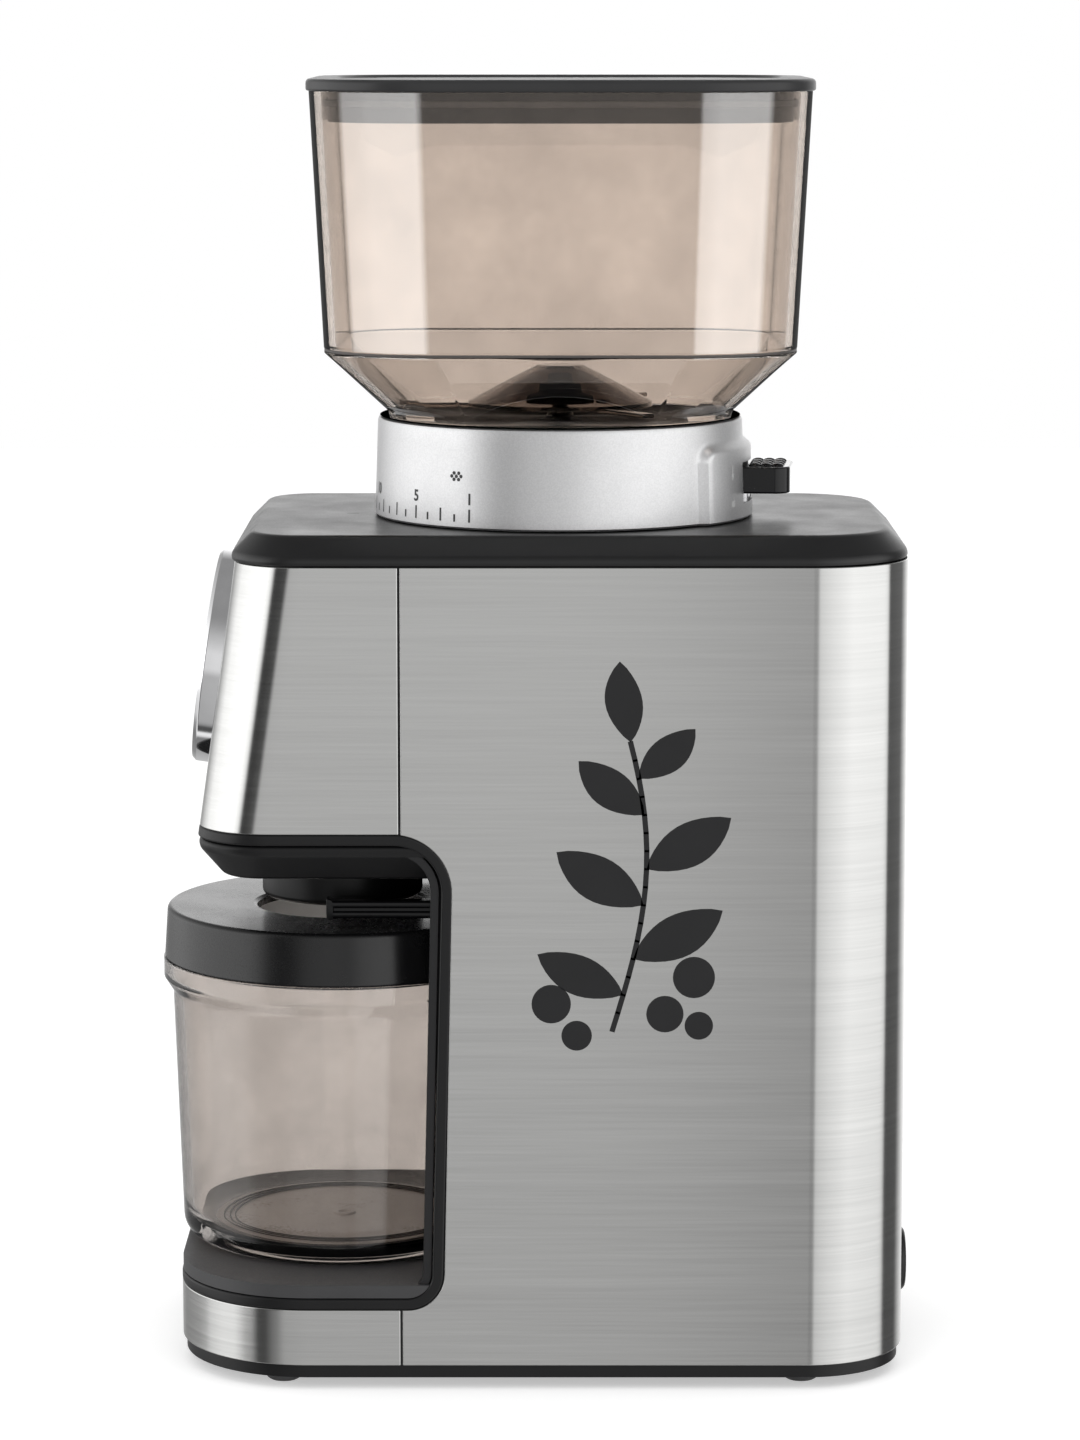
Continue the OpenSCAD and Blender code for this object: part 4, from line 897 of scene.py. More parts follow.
class GRINDER_OT_hopper(bpy.types.Operator):
    """Builds the clear hopper with its lid, seal, black base ring and bean guard"""

    bl_idname = "grinder.hopper"
    bl_label = "Hopper"

    def tub(self):
        low, high = BOX["hopper_tub"]
        wall = sizes().tub_wall
        funnel_h = 0.018
        draft = 0.004
        corner = TUB_CORNER
        width, depth = high.x - low.x, high.y - low.y
        shoulder_z = low.z + funnel_h
        rim = plan_ring(width, depth, corner, high.z, BURR_Y)
        shoulder = plan_ring(width - 2 * draft, depth - 2 * draft, corner - draft / 2, shoulder_z, BURR_Y)
        foot_z = COLLAR_TOP_Z + 0.0006
        neck = round_ring(NECK_R, low.z, shoulder, BURR_Y)
        foot = round_ring(0.0546, foot_z, shoulder, BURR_Y)

        def wall_at(z, inset):
            """Ring of the outer wall at a height, set in by a groove's depth."""
            lean = draft * (high.z - z) / (high.z - shoulder_z)
            return plan_ring(width - 2 * lean - 2 * inset, depth - 2 * lean - 2 * inset, corner - lean / 2 - inset, z,
                             BURR_Y)
        rim_in = plan_ring(width - 2 * wall, depth - 2 * wall, corner - wall, high.z, BURR_Y)
        shoulder_in = plan_ring(width - 2 * draft - 2 * wall, depth - 2 * draft - 2 * wall, corner - draft / 2 - wall,
                                shoulder_z + wall * 0.4, BURR_Y)
        neck_in = round_ring(NECK_R - wall, low.z, shoulder_in, BURR_Y)
        soft = 0.0003
        outer = [foot, neck, *eased_corner(neck, shoulder, rim, soft / funnel_h, soft / (high.z - shoulder_z)),
                 *(wall_at(shoulder_z + rise, inset) for rise, inset in (
                     (0.0005, 0), (0.0006, 0.0005), (0.0014, 0.0005), (0.0015, 0))), between(shoulder, rim, 0.5), rim]
        bend = eased_corner(neck_in, shoulder_in, rim_in, soft / funnel_h, soft / (high.z - shoulder_z))
        inner = [round_ring(NECK_R - wall, foot_z, shoulder_in, BURR_Y), neck_in, *bend,
                 between(shoulder_in, rim_in, 0.5), rim_in]
        tub = tube_of(outer, inner)
        ease(tub, 0.0004, 2, 60)
        finish_piece(tub, "hopper_clear_tub", "smoked_clear", "hopper", ["hopper_tub"], 50)
        levels = (shoulder_z + 0.00065, shoulder_z + 0.00135)
        line = tube_of([wall_at(z, 0.0001) for z in levels], [wall_at(z, 0.00045) for z in levels])
        finish_piece(line, "hopper_shoulder_line", "ink_ghost", "hopper", tidy=False)

    def lid(self):
        low, high = BOX["hopper_lid"]
        tub_low, tub_high = BOX["hopper_tub"]
        rim_z = tub_high.z
        corner = 0.0369
        plate = slab(high.x - low.x, low.y, high.y, rim_z, high.z, corner, corner)
        bevel_edges(plate, above(high.z), 0.0013, 4)
        bevel_edges(plate, below(rim_z), 0.0007, 3)
        pick_faces(plate, lambda c, n: n.z > 0.99 and c.z > high.z - NEAR)
        bpy.ops.mesh.inset(thickness=0.0055, depth=0)
        bpy.ops.mesh.inset(thickness=0.0012, depth=-0.0008)
        done_editing()
        skirt_in = 0.0056
        skirt_t = 0.002
        width = tub_high.x - tub_low.x
        skirt = slab(width - 2 * skirt_in, tub_low.y + skirt_in, tub_high.y - skirt_in, low.z, rim_z + 0.0004,
                     TUB_CORNER - skirt_in, TUB_CORNER - skirt_in)
        inside = skirt_in + skirt_t
        cut(skirt, slab(width - 2 * inside, tub_low.y + inside, tub_high.y - inside, low.z - 0.001, rim_z - 0.0003,
                        TUB_CORNER - inside, TUB_CORNER - inside))
        ease(skirt, 0.0003, 2, 60)
        finish_piece(join([plate, skirt]), "hopper_lid_cover", "lid_grey", "hopper_lid", ["hopper_lid"],
                     30, tidy=False)
        finish_copy("lid_seal", "lid_soft_seal", "foot_rubber", 0.0004, 2, 60, "hopper_lid")

    def guard(self):
        low, high = BOX["bean_guard"]
        brim = 0.0279
        base_z = low.z + 0.0006
        peak_z = high.z
        t = 0.0017
        profile = fillet_path([
            (0.0001, peak_z, 0), (0.0068, peak_z, 0.002), (0.014, peak_z - 0.0036, 0.004),
            (brim, base_z + t * 0.8, 0), (brim + 0.0001, base_z, 0), (brim - 0.002, base_z, 0),
            (0.0132, peak_z - 0.0036 - t, 0.003), (0.0064, peak_z - t, 0.001), (0.0001, peak_z - t, 0)], 5)
        cone = turned(profile, BURR_Y, 96)
        legs = []
        for degrees in (30, 150, 270):
            leg = cube((brim - 0.0024, -0.002, low.z), (0.0516, 0.002, low.z + 0.0014))
            ease(leg, 0.0004, 2)
            legs.append(about_burr(leg, math.radians(degrees)))
        finish_piece(join([cone, *legs]), "bean_guard_cone", "guard_clear", "hopper", ["bean_guard"],
                     40, tidy=False)
        hub = turned(fillet_path([
            (0.0001, low.z + 0.0100, 0), (0.0034, low.z + 0.0100, 0.0006), (0.0040, low.z + 0.0072, 0.0005),
            (0.0062, low.z + 0.0068, 0.0004), (0.0066, low.z + 0.0042, 0.0005), (0.0098, low.z + 0.0034, 0.0006),
            (0.0104, low.z + 0.0012, 0.0003), (0.0001, low.z + 0.0012, 0)], 3), BURR_Y, 48)
        finish_piece(hub, "bean_guard_hub", "black_satin", "hopper")

    def base_ring(self):
        ring = cad_copy("hopper_base")
        slice_off(ring, (0, 0, COLLAR_TOP_Z + 0.0003), (0, 0, 1))
        finish_piece(ease(ring, 0.0003, 2), "hopper_base_ring", "black_satin", "hopper", ["hopper_base"],
                     30, tidy=False)

    def execute(self, context):
        self.tub()
        self.lid()
        self.guard()
        self.base_ring()
        return {"FINISHED"}


# ---- grind collar ----

COLLAR_R = 0.0562
COLLAR_TAPER = 0.001
COLLAR_STEPS = 300
MARK_LIFT = 0.00005
LEVER_AT = math.radians(84)
BULGE_HALF = math.radians(37)
TICK_FROM = math.radians(-28.7)
TICK_STEP = math.radians(5.3)


def soft_step(t):
    t = max(0.0, min(1.0, t))
    return t * t * (3 - 2 * t)


def bulge_at(angle, z):
    """How far the housing round the lever stands out of the collar's wall: a plateau with a rounded corner."""
    round_r = 0.0055
    across = (abs((angle - LEVER_AT + math.pi) % math.tau - math.pi) - BULGE_HALF) * COLLAR_R + round_r
    up = z - (COLLAR_LOW_Z + 0.0235) + round_r
    outside = math.hypot(max(across, 0.0), max(up, 0.0)) + min(max(across, up), 0.0) - round_r
    return 0.0024 * soft_step((0.0004 - outside) / 0.003)


def collar_ring(z, radius, swollen=True):
    """Level ring of the collar, swollen round the lever's housing."""
    ring = []
    for k in range(COLLAR_STEPS):
        a = math.tau * k / COLLAR_STEPS
        r = radius + (bulge_at(a, z) if swollen else 0.0)
        ring.append((r * math.cos(a), BURR_Y + r * math.sin(a), z))
    return ring


def polar(radius, angle, z):
    return Vector((radius * math.cos(angle), BURR_Y + radius * math.sin(angle), z))


def about_burr(obj, angle):
    """Turns a form drawn round the origin by an angle and stands it on the burr's axis."""
    return moved(obj, (0, BURR_Y, 0), Matrix.Rotation(angle, 4, "Z"))


def on_collar(obj, angle, radius, z):
    """Moves a flat form, drawn round the origin in XY facing +Z, onto the collar's wall."""
    turn = Matrix.Rotation(angle + math.pi / 2, 4, "Z") @ Matrix.Rotation(math.pi / 2, 4, "X")
    return moved(obj, polar(radius, angle, z), turn)


def wrap_on_collar(obj, radius):
    """Bends a flat form that stands by the collar onto its round wall, by each vertex's own angle."""
    for vert in obj.data.vertices:
        away = Vector((vert.co.x, vert.co.y - BURR_Y)).normalized()
        reach = radius(vert.co.z)
        vert.co.x = away.x * reach
        vert.co.y = BURR_Y + away.y * reach
    return obj


def flat_text(words, height, swell=0.0):
    """Numbers as a flat mesh round the origin, fattened by swell."""
    deselect_all()
    bpy.ops.object.text_add(location=(0, 0, 0))
    obj = bpy.context.object
    obj.data.body = words
    obj.data.align_x = "CENTER"
    obj.data.align_y = "CENTER"
    obj.data.size = height * 1.4
    obj.data.offset = swell
    bpy.ops.object.convert(target="MESH")
    return settle(bpy.context.object)


def flat_disc(radius, at=(0, 0), steps=20):
    deselect_all()
    bpy.ops.mesh.primitive_circle_add(vertices=steps, radius=radius, fill_type="NGON", location=(at[0], at[1], 0))
    return settle(bpy.context.object)


def flat_bar(width, height, at=(0, 0)):
    deselect_all()
    bpy.ops.mesh.primitive_plane_add(size=1, location=(at[0], at[1], 0))
    obj = bpy.context.object
    obj.scale = (width, height, 1)
    return settle(obj)


def flat_polygon(points):
    deselect_all()
    bpy.ops.mesh.primitive_circle_add(vertices=len(points), radius=1, fill_type="NGON")
    obj = bpy.context.object
    for vert, (x, y) in zip(obj.data.vertices, points):
        vert.co = (x, y, 0)
    return settle(obj)


def open_lock(size):
    """Generic open padlock drawn flat: a body and a raised shackle."""
    parts = [flat_bar(size * 0.62, size * 0.46, (0, -size * 0.27))]
    outer, inner, steps = size * 0.25, size * 0.16, 9
    for k in range(steps):
        a0, a1 = math.pi * k / steps, math.pi * (k + 1) / steps
        parts.append(flat_polygon([(size * 0.28 + r * math.cos(a), size * 0.2 + r * math.sin(a))
                                   for r, a in ((inner, a0), (outer, a0), (outer, a1), (inner, a1))]))
    parts.append(flat_bar(size * 0.09, size * 0.28, (size * 0.075, size * 0.08)))
    return join(parts)


def collar_wall(z):
    """Radius of the collar's tapered wall at a height."""
    low, high = COLLAR_LOW_Z, COLLAR_TOP_Z
    return COLLAR_R - COLLAR_TAPER * (z - low) / (high - low)


class GRINDER_OT_collar(bpy.types.Operator):
    """Builds the silver grind collar with its scale, the lever's housing and the release lever"""

    bl_idname = "grinder.collar"
    bl_label = "Grind Collar"

    def shell(self):
        low, high = COLLAR_LOW_Z, COLLAR_TOP_Z
        foot = COLLAR_R
        top = foot - COLLAR_TAPER
        levels = [low + 0.0006 + 0.0125 * k for k in range(2)] + [low + 0.0140 + 0.0007 * k for k in range(17)]
        rows = [(low, foot - 0.0006)] + [(z, collar_wall(z)) for z in levels]
        rows += [(high - 0.0012, top), (high - 0.0004, top - 0.0003), (high, top - 0.0011)]
        outer = [collar_ring(z, r) for z, r in rows]
        shelf = high - 0.014
        inner = [collar_ring(z, r, False) for z, r in (
            (low, foot - 0.0026), (shelf, foot - 0.0026), (shelf, 0.0474), (shelf + 0.002, 0.0474),
            (shelf + 0.002, 0.0512), (high - 0.0004, 0.0512), (high, 0.0516))]
        shell = tube_of(outer, inner)
        lever = BOX["release_lever"]
        slot_w = 0.0276
        slot = cube((0.0484, -slot_w / 2, lever[0].z - 0.0028), (0.064, slot_w / 2, lever[0].z + 0.0094))
        cut(shell, about_burr(slot, LEVER_AT))
        relief = cube((0.0464, -slot_w / 2 - 0.003, lever[0].z - 0.0028),
                      (0.0510, slot_w / 2 + 0.003, high - 0.011))
        cut(shell, about_burr(relief, LEVER_AT))
        finish_piece(shell, "grind_collar_shell", "silver_paint", "grind_collar", ["grind_ring"], 35)

    def scale(self):
        long_h, short_h, tick_w = 0.0038, 0.0022, 0.00066
        parts = []
        for k in range(sizes().ticks):
            angle = TICK_FROM - TICK_STEP * k
            height = long_h if k % 2 == 0 else short_h
            tick = flat_bar(tick_w, height, (0, height / 2))
            parts.append(on_collar(tick, angle, COLLAR_R, COLLAR_LOW_Z + 0.0021))
            if k == 0 or (k + 1) % 5 == 0:
                number = flat_text(str(k + 1), 0.0033, 0.00012)
                parts.append(on_collar(number, angle, COLLAR_R, COLLAR_LOW_Z + 0.0087))
        for radius, place in ((0.00055, 0.9), (0.0009, sizes().ticks - 1.9)):
            angle = TICK_FROM - TICK_STEP * place
            for dx, dy in ((-2, 0), (-1, 1), (0, 0), (1, 1), (2, 0), (-1, -1), (1, -1)):
                spot = flat_disc(radius, (dx * radius * 1.5, dy * radius * 1.7))
                parts.append(on_collar(spot, angle, COLLAR_R, COLLAR_LOW_Z + 0.0155))
        marks = wrap_on_collar(join(parts), lambda z: collar_wall(z) + MARK_LIFT)
        finish_piece(marks, "collar_scale_marks", "ink_grey", "grind_collar", tidy=False)

    def lever_marks(self):
        angle = math.radians(62)
        arrow = flat_polygon([(-0.0011, 0.0008), (0.0011, 0.0008), (0, -0.0014)])
        stem = flat_bar(0.0008, 0.0026, (0, 0.002))
        top = on_collar(join([arrow, stem]), angle, COLLAR_R, COLLAR_LOW_Z + 0.0135)
        lock = on_collar(open_lock(0.0042), angle, COLLAR_R, COLLAR_LOW_Z + 0.0065)
        marks = wrap_on_collar(join([top, lock]), lambda z: collar_wall(z) + MARK_LIFT + bulge_at(angle, z))
        finish_piece(marks, "collar_lever_marks", "ink_white", "grind_collar", tidy=False)

    def lever(self):
        low, high = BOX["release_lever"]
        low_z = low.z
        top_z = low_z + 0.008
        inner, reach = 0.049, 0.0704
        block = slab(0.027, inner, reach, low_z, top_z, 0.0006, 0.005, 8)
        ease(block, 0.0008, 3, 50)
        foot = cube((-0.0153, inner, low_z), (0.0153, inner + 0.0014, top_z))
        tongue = cube((-0.004, inner, top_z - 0.001), (0.004, inner + 0.0014, high.z))
        domes = []
        across, along = 0.0056, 0.0034
        for row in range(4):
            for column in range(3):
                deselect_all()
                bpy.ops.mesh.primitive_uv_sphere_add(segments=16, ring_count=8, radius=0.0019, location=(
                    across * (row - 1.5), 0.0598 + along * column, top_z))
                dome = bpy.context.object
                dome.scale.z = 0.5
                settle(dome)
                slice_off(dome, (0, 0, top_z - 0.0002), (0, 0, -1))
                domes.append(dome)
        lever = about_burr(join([block, foot, tongue, *domes]), LEVER_AT - math.pi / 2)
        finish_piece(lever, "release_lever_key", "black_gloss", "release_lever", ["release_lever"],
                     40, tidy=False)

    def execute(self, context):
        self.shell()
        self.scale()
        self.lever_marks()
        self.lever()
        return {"FINISHED"}


# ---- jar, spout and fork ----

class GRINDER_OT_jar(bpy.types.Operator):
    """Builds the clear grounds jar with its black lid"""

    bl_idname = "grinder.jar"
    bl_label = "Grounds Jar"

    def tub(self):
        low, high = BOX["jar"]
        wall = sizes().jar_wall
        foot_r = 0.0496
        neck_r = 0.0524
        rim_r = high.x
        band = high.z - 0.0058
        neck_z = band - 0.0044
        floor_z = low.z + 0.0042
        profile = [
            (0.0001, low.z + 0.0016, 0), (0.0375, low.z + 0.0016, 0.0008), (0.0393, low.z, 0.0008),
            (foot_r, low.z, 0.0065), (neck_r, neck_z, 0.003), (rim_r, band, 0.001), (rim_r, high.z, 0.0003),
            (rim_r - wall, high.z, 0.0003), (rim_r - wall, band + 0.0006, 0.002),
            (neck_r - wall, neck_z + 0.0006, 0.003), (foot_r - wall, floor_z, 0.0075), (0.0001, floor_z, 0)]
        jar = turned(fillet_path(profile, 8), JAR_Y, 144)
        finish_piece(jar, "jar_clear_tub", "jar_clear", "jar", ["jar"], 40)
        # Disc on the jar's floor with a small centre boss. Its pale colour is painted light for the light that shows
        # through the clear floor
        pad = turned(fillet_path([
            (0.0001, floor_z + 0.0001, 0), (0.0400, floor_z + 0.0001, 0), (0.0400, floor_z + 0.0006, 0.0003),
            (0.0036, floor_z + 0.0006, 0.0002), (0.0030, floor_z + 0.0011, 0.0002), (0.0020, floor_z + 0.0011, 0.0002),
            (0.0015, floor_z + 0.0006, 0.0002), (0.0001, floor_z + 0.0006, 0)], 3), JAR_Y, 96)
        finish_piece(pad, "jar_floor_pad_painted_light", "jar_floor_painted_light", "jar")
        rings = [turned([(r, floor_z + 0.0004), (r + 0.0004, floor_z + 0.0004), (r + 0.0004, floor_z + 0.0010),
                         (r, floor_z + 0.0010)], JAR_Y, 96) for r in (0.0338, 0.0354, 0.0372)]
        finish_piece(join(rings), "jar_floor_rings", "ink_ghost", "jar", tidy=False)

    def lid(self):
        high = BOX["jar_lid"][1]
        jar_high = BOX["jar"][1]
        rim_z, top_z, radius = jar_high.z, high.z, high.x
        hole = 0.0262
        wall = 0.0022
        plug = jar_high.x - sizes().jar_wall - 0.0003
        profile = fillet_path([
            (hole, top_z - wall - 0.0006, 0.0004), (hole, top_z - 0.0006, 0.0006), (hole + 0.0012, top_z, 0.0006),
            (radius - 0.0010, top_z, 0.0016), (radius, rim_z + 0.0006, 0.0005), (radius - 0.0003, rim_z, 0.0002),
            (plug, rim_z, 0.0002), (plug, rim_z - 0.0012, 0.0004), (plug - wall, rim_z - 0.0012, 0.0004),
            (plug - wall, top_z - 0.0034, 0.0015)], 6)
        lid = turned([(p[0], p[1]) for p in profile], JAR_Y, 144)
        finish_piece(lid, "jar_lid_cover", "lid_black", "jar", ["jar_lid"], 40)
        seal = turned(fillet_path([
            (0.0490, rim_z + 0.0004, 0), (0.0508, rim_z + 0.0004, 0.0004), (0.0508, rim_z + 0.0090, 0.0004),
            (0.0490, rim_z + 0.0090, 0)], 3), JAR_Y, 96)
        finish_piece(seal, "jar_lid_gasket", "gasket_white", "jar")

    def execute(self, context):
        self.tub()
        self.lid()
        return {"FINISHED"}


class GRINDER_OT_outlet(bpy.types.Operator):
    """Builds the grounds spout and the portafilter fork"""

    bl_idname = "grinder.outlet"
    bl_label = "Spout and Fork"

    def execute(self, context):
        low, high = BOX["spout"]
        radius = 0.0246
        wall = 0.0024
        top_z = high.z
        profile = fillet_path([
            (radius - wall, low.z, 0.0006), (radius, low.z, 0.0018), (radius, top_z - 0.002, 0.0002),
            (high.x, top_z - 0.002, 0), (high.x, top_z, 0), (radius - wall, top_z, 0)], 5)
        finish_piece(turned(profile, JAR_Y, 96), "grounds_spout", "black_satin", "body", ["spout"], 40)
        low, high = BOX["portafilter_fork"]
        fork = slice_off(ease(cad_copy("portafilter_fork"), 0.0005, 3, 40), (0, -0.03, 0), (0, -1, 0))
        tip, bar_h, low_z = low.y, 0.0023, high.z - 0.0096
        parts = [fork]
        for side in (-1, 1):
            near, far = side * (high.x - 0.005), side * high.x
            x0, x1 = min(near, far), max(near, far)
            for z in (low_z, low_z + 0.0031):
                parts.append(ease(cube((x0, tip + 0.001, z), (x1, -0.0298, z + bar_h)), 0.0008, 3))
            parts.append(cube((x0 + 0.0008, tip + 0.002, low_z + 0.001), (x1 - 0.0008, -0.0298, low_z + 0.004)))
            flare = cube((x0, tip, low_z - 0.0003), (x1, tip + 0.0022, low_z + 0.0061))
            bevel_edges(flare, lambda a, b: min(a.z, b.z) > low_z + 0.006 and min(a.y, b.y) > tip + 0.002, 0.0018, 3)
            parts.append(ease(flare, 0.0004, 2))
        finish_piece(join(parts), "portafilter_rest", "black_gloss", "body", ["portafilter_fork"], 35,
                     tidy=False)
        return {"FINISHED"}


# ---- control panel ----

SMALL_BUTTONS = {"minus_button": (-0.019, -0.009), "mode_button": (0.0, -0.024), "plus_button": (0.019, -0.009)}
START_AT = (0.0, -0.009)
FACE_RISE = 0.0054


def on_panel(obj):
    """Moves a form drawn round the origin, facing +Z, onto the panel's axis."""
    obj.matrix_world = panel_frame() @ obj.matrix_world
    return settle(obj)


def turned_on_panel(profile, steps, at=(0, 0)):
    return on_panel(moved(turned(profile, 0.0, steps), (*at, 0)))


class GRINDER_OT_panel(bpy.types.Operator):
    """Builds the round control panel: bezel, face, display and buttons with their marks"""

    bl_idname = "grinder.panel"
    bl_label = "Control Panel"

    def button(self, node, radius, at, skirt):
        top = FACE_RISE + 0.0008
        profile = fillet_path([
            (0.0001, skirt, 0), (radius, skirt, 0), (radius, top, 0.0006), (radius * 0.86, top, 0.0003),
            (radius * 0.8, FACE_RISE + 0.0004, 0.0006), (0.0001, FACE_RISE + 0.0003, 0)], 5)
        cap = turned_on_panel(profile, 48, at)
        finish_piece(cap, node + "_cap", "chrome_trim", node, [node], 35, tidy=False)

    def sign(self, node, forms, at):
        mark = moved(join(forms), (*at, FACE_RISE + 0.00042))
        finish_piece(on_panel(mark), node + "_sign", "ink_dark", node, tidy=False)

    def execute(self, context):
        radius = BOX["panel_bezel"][1].x
        rise = 0.0068
        profile = fillet_path([
            (radius - 0.0034, 0, 0), (radius, 0, 0), (radius, rise - 0.0012, 0.0008), (radius - 0.001, rise, 0.0005),
            (radius - 0.0023, rise, 0.0006), (radius - 0.0034, rise - 0.0014, 0.0003)], 5)
        bezel = turned_on_panel(profile, 128)
        finish_piece(bezel, "panel_bright_bezel", "chrome_trim", "body", ["panel_bezel"], 40, tidy=False)

        finish_copy("panel_face", "panel_black_face", "black_gloss", 0.0003, 2, 60)
        finish_copy("display_lens", "display_window", "display_glass", 0.0002)
        digits = flat_text("12", 0.008)
        bars = [flat_bar(0.0016, 0.0012 + 0.0012 * k, (0.0088 + 0.0024 * (k - 1), -0.0035 + 0.0006 * k))
                for k in range(3)]
        readout = moved(join([digits, *bars]), (-0.002, 0.012, FACE_RISE + 0.00005))
        finish_piece(on_panel(readout), "display_readout", "display_glow", "body", tidy=False)

        self.button("start_button", 0.0095, START_AT, -0.003)
        for node, at in SMALL_BUTTONS.items():
            self.button(node, 0.004, at, 0.0022)
        play = flat_polygon([(-0.0018, -0.0026), (0.003, 0), (-0.0018, 0.0026)])
        self.sign("start_button", [play], START_AT)
        self.sign("minus_button", [flat_bar(0.0034, 0.0007)], SMALL_BUTTONS["minus_button"])
        self.sign("plus_button", [flat_bar(0.0034, 0.0007), flat_bar(0.0007, 0.0034)], SMALL_BUTTONS["plus_button"])
        self.sign("mode_button", [flat_disc(0.0007, (dx, 0)) for dx in (-0.0018, 0, 0.0018)],
                  SMALL_BUTTONS["mode_button"])
        return {"FINISHED"}


# ---- printed sprig on the side ----

LEAF_STEPS = 12


def leaf_points(length, width, bend):
    """Outline of a leaf from its stalk at the origin along +Y."""
    points = []
    for side in (1, -1):
        for k in range(LEAF_STEPS):
            t = k / LEAF_STEPS if side == 1 else 1 - k / LEAF_STEPS
            half = side * width / 2 * math.sin(math.pi * t) ** 0.8
            points.append((half + bend * math.sin(math.pi * t * 0.5), length * t))
    return points


class GRINDER_OT_print(bpy.types.Operator):
    """Prints a plain black sprig with berries on the side of the body"""

    bl_idname = "grinder.side_print"
    bl_label = "Side Print"

    def execute(self, context):
        parts = []
        stem = [(0.010 * math.sin(k / 16 * 2.6) - 0.002, -0.046 + 0.086 * (k / 16)) for k in range(17)]
        for (x0, y0), (x1, y1) in zip(stem, stem[1:]):
            length = math.hypot(x1 - x0, y1 - y0)
            bar = flat_bar(0.0016, length * 1.12)
            turn = Matrix.Rotation(math.atan2(y1 - y0, x1 - x0) - math.pi / 2, 4, "Z")
            parts.append(moved(bar, ((x0 + x1) / 2, (y0 + y1) / 2, 0), turn))
        for k, length, width, turn in (
                (2, 0.028, 0.012, 1.05), (4, 0.030, 0.013, -1.0), (7, 0.030, 0.0135, 0.95), (9, 0.029, 0.013, -0.95),
                (12, 0.025, 0.0115, 0.8), (14, 0.022, 0.0105, -0.75), (16, 0.024, 0.011, 0.05)):
            leaf = flat_polygon(leaf_points(length, width, 0.002 if turn < 0 else -0.002))
            parts.append(moved(leaf, (*stem[k], 0), Matrix.Rotation(turn, 4, "Z")))
        for x, y, r in ((0.022, -0.030, 0.0062), (0.0135, -0.041, 0.0055), (-0.020, -0.038, 0.0058),
                        (-0.0125, -0.0475, 0.0045), (0.0235, -0.0445, 0.0042)):
            parts.append(flat_disc(r, (x, y), 32))
        upright_turn = Matrix.Rotation(math.pi / 2, 4, "Z") @ Matrix.Rotation(math.pi / 2, 4, "X")
        sprig = moved(join(parts), (BODY_W / 2 - 0.00002, 0.0245, 0.1555), upright_turn)
        finish_piece(sprig, "side_sprig_print", "ink_dark", "body", tidy=False)
        return {"FINISHED"}


# ---- small parts under the base and the works inside ----

EASED_NODES = {
    "rubber_feet": ("foot_rubber", 0.0006), "cord_cleats": ("black_matte", 0.0005),
    "base_screws": ("burr_steel", 0.0002), "cord_gland": ("black_satin", 0.0006), "burr_nut": ("black_gloss", 0.0003),
    "burr_carrier": ("cast_alloy", 0.0004), "ring_burr": ("burr_steel", 0.0003), "cone_burr": ("burr_steel", 0.0001),
}

NODE_FINISHES = {
    "base_housing": "black_matte", "column_housing": "black_matte", "head_housing": "black_matte",
    "grind_chamber": "black_matte", "outlet_duct": "black_matte",
    "gearbox_case": "cast_alloy", "gearbox_cover": "cast_alloy", "upper_bearing": "burr_steel",
    "lower_bearing": "burr_steel", "idler_pin": "burr_steel", "motor_can": "motor_plate",
    "motor_end_cap": "black_matte", "motor_mounts": "foot_rubber", "control_board": "board", "power_board": "board",
    "hopper_switch": "black_matte", "lever_spring": "burr_steel", "sweeper": "black_matte", "burr_shaft": "burr_steel",
    "output_gear": "gear_plastic", "idler_gear": "gear_plastic", "motor_shaft": "burr_steel",
    "motor_pinion": "pinion_brass", "cooling_fan": "black_matte",
}


class GRINDER_OT_works(bpy.types.Operator):
    """Finishes the small parts that show and gives the works inside their materials"""

    bl_idname = "grinder.works"
    bl_label = "Works and Small Parts"

    def execute(self, context):
        members = frame["record"]["behaviour"]["bodies"]
        body_of = {node: body for body, nodes in members.items() for node in nodes}
        for node, (finish, width) in EASED_NODES.items():
            finish_copy(node, node + "_finished", finish, width, 2, 32, body_of[node], 32)
        for node, finish in NODE_FINISHES.items():
            dress(NODES[node], finish)
        return {"FINISHED"}


# ---- stage ----

WHITE = (1.0, 1.0, 1.0, 1.0)
BLACK = (0.0, 0.0, 0.0, 1.0)
LENS = 116.45
SENSOR_W = 36.0
CAMERA_RANGE = 1.428
CAMERA_PITCH = math.radians(8.56)
LOOK_AT = (0.0, 0.0012, 0.1919)

# Brightness of the studio by compass angle, in degrees: as low surfaces, high surfaces and clear walls see it
LOW_PANELS = (
    (-180, 0.95), (-150, 0.45), (-119, 0.35), (-108, 0.6), (-101, 1.15), (-86, 1.5), (-72, 1.45), (-66, 0.9),
    (-61, 0.3), (-52, 0.13), (-41, 0.15), (-33, 0.55), (-28, 0.68), (0, 0.76), (2.3, 0.76), (3.4, 0.48), (8.5, 0.46),
    (11, 1.15), (26, 1.4), (50, 1.7), (95, 1.55), (101, 1.3), (105, 0.15), (132, 0.15), (146, 0.9), (160, 1.3),
    (180, 0.95))
HIGH_PANELS = (
    (-180, 1.7), (-170, 1.4), (-161, 0.5), (-150, 0.5), (-138, 0.9), (-118, 1.6), (-98, 1.8), (-60, 2.0), (-53, 1.6),
    (-47, 0.07), (-29, 0.05), (-23, 0.72), (-12, 0.76), (0, 0.8), (2.3, 0.8), (3.4, 0.52), (8.5, 0.5), (11, 1.15),
    (26, 1.4), (50, 1.7), (95, 1.6), (101, 1.4), (105, 0.15), (132, 0.2), (146, 0.9), (160, 1.4), (180, 1.7))
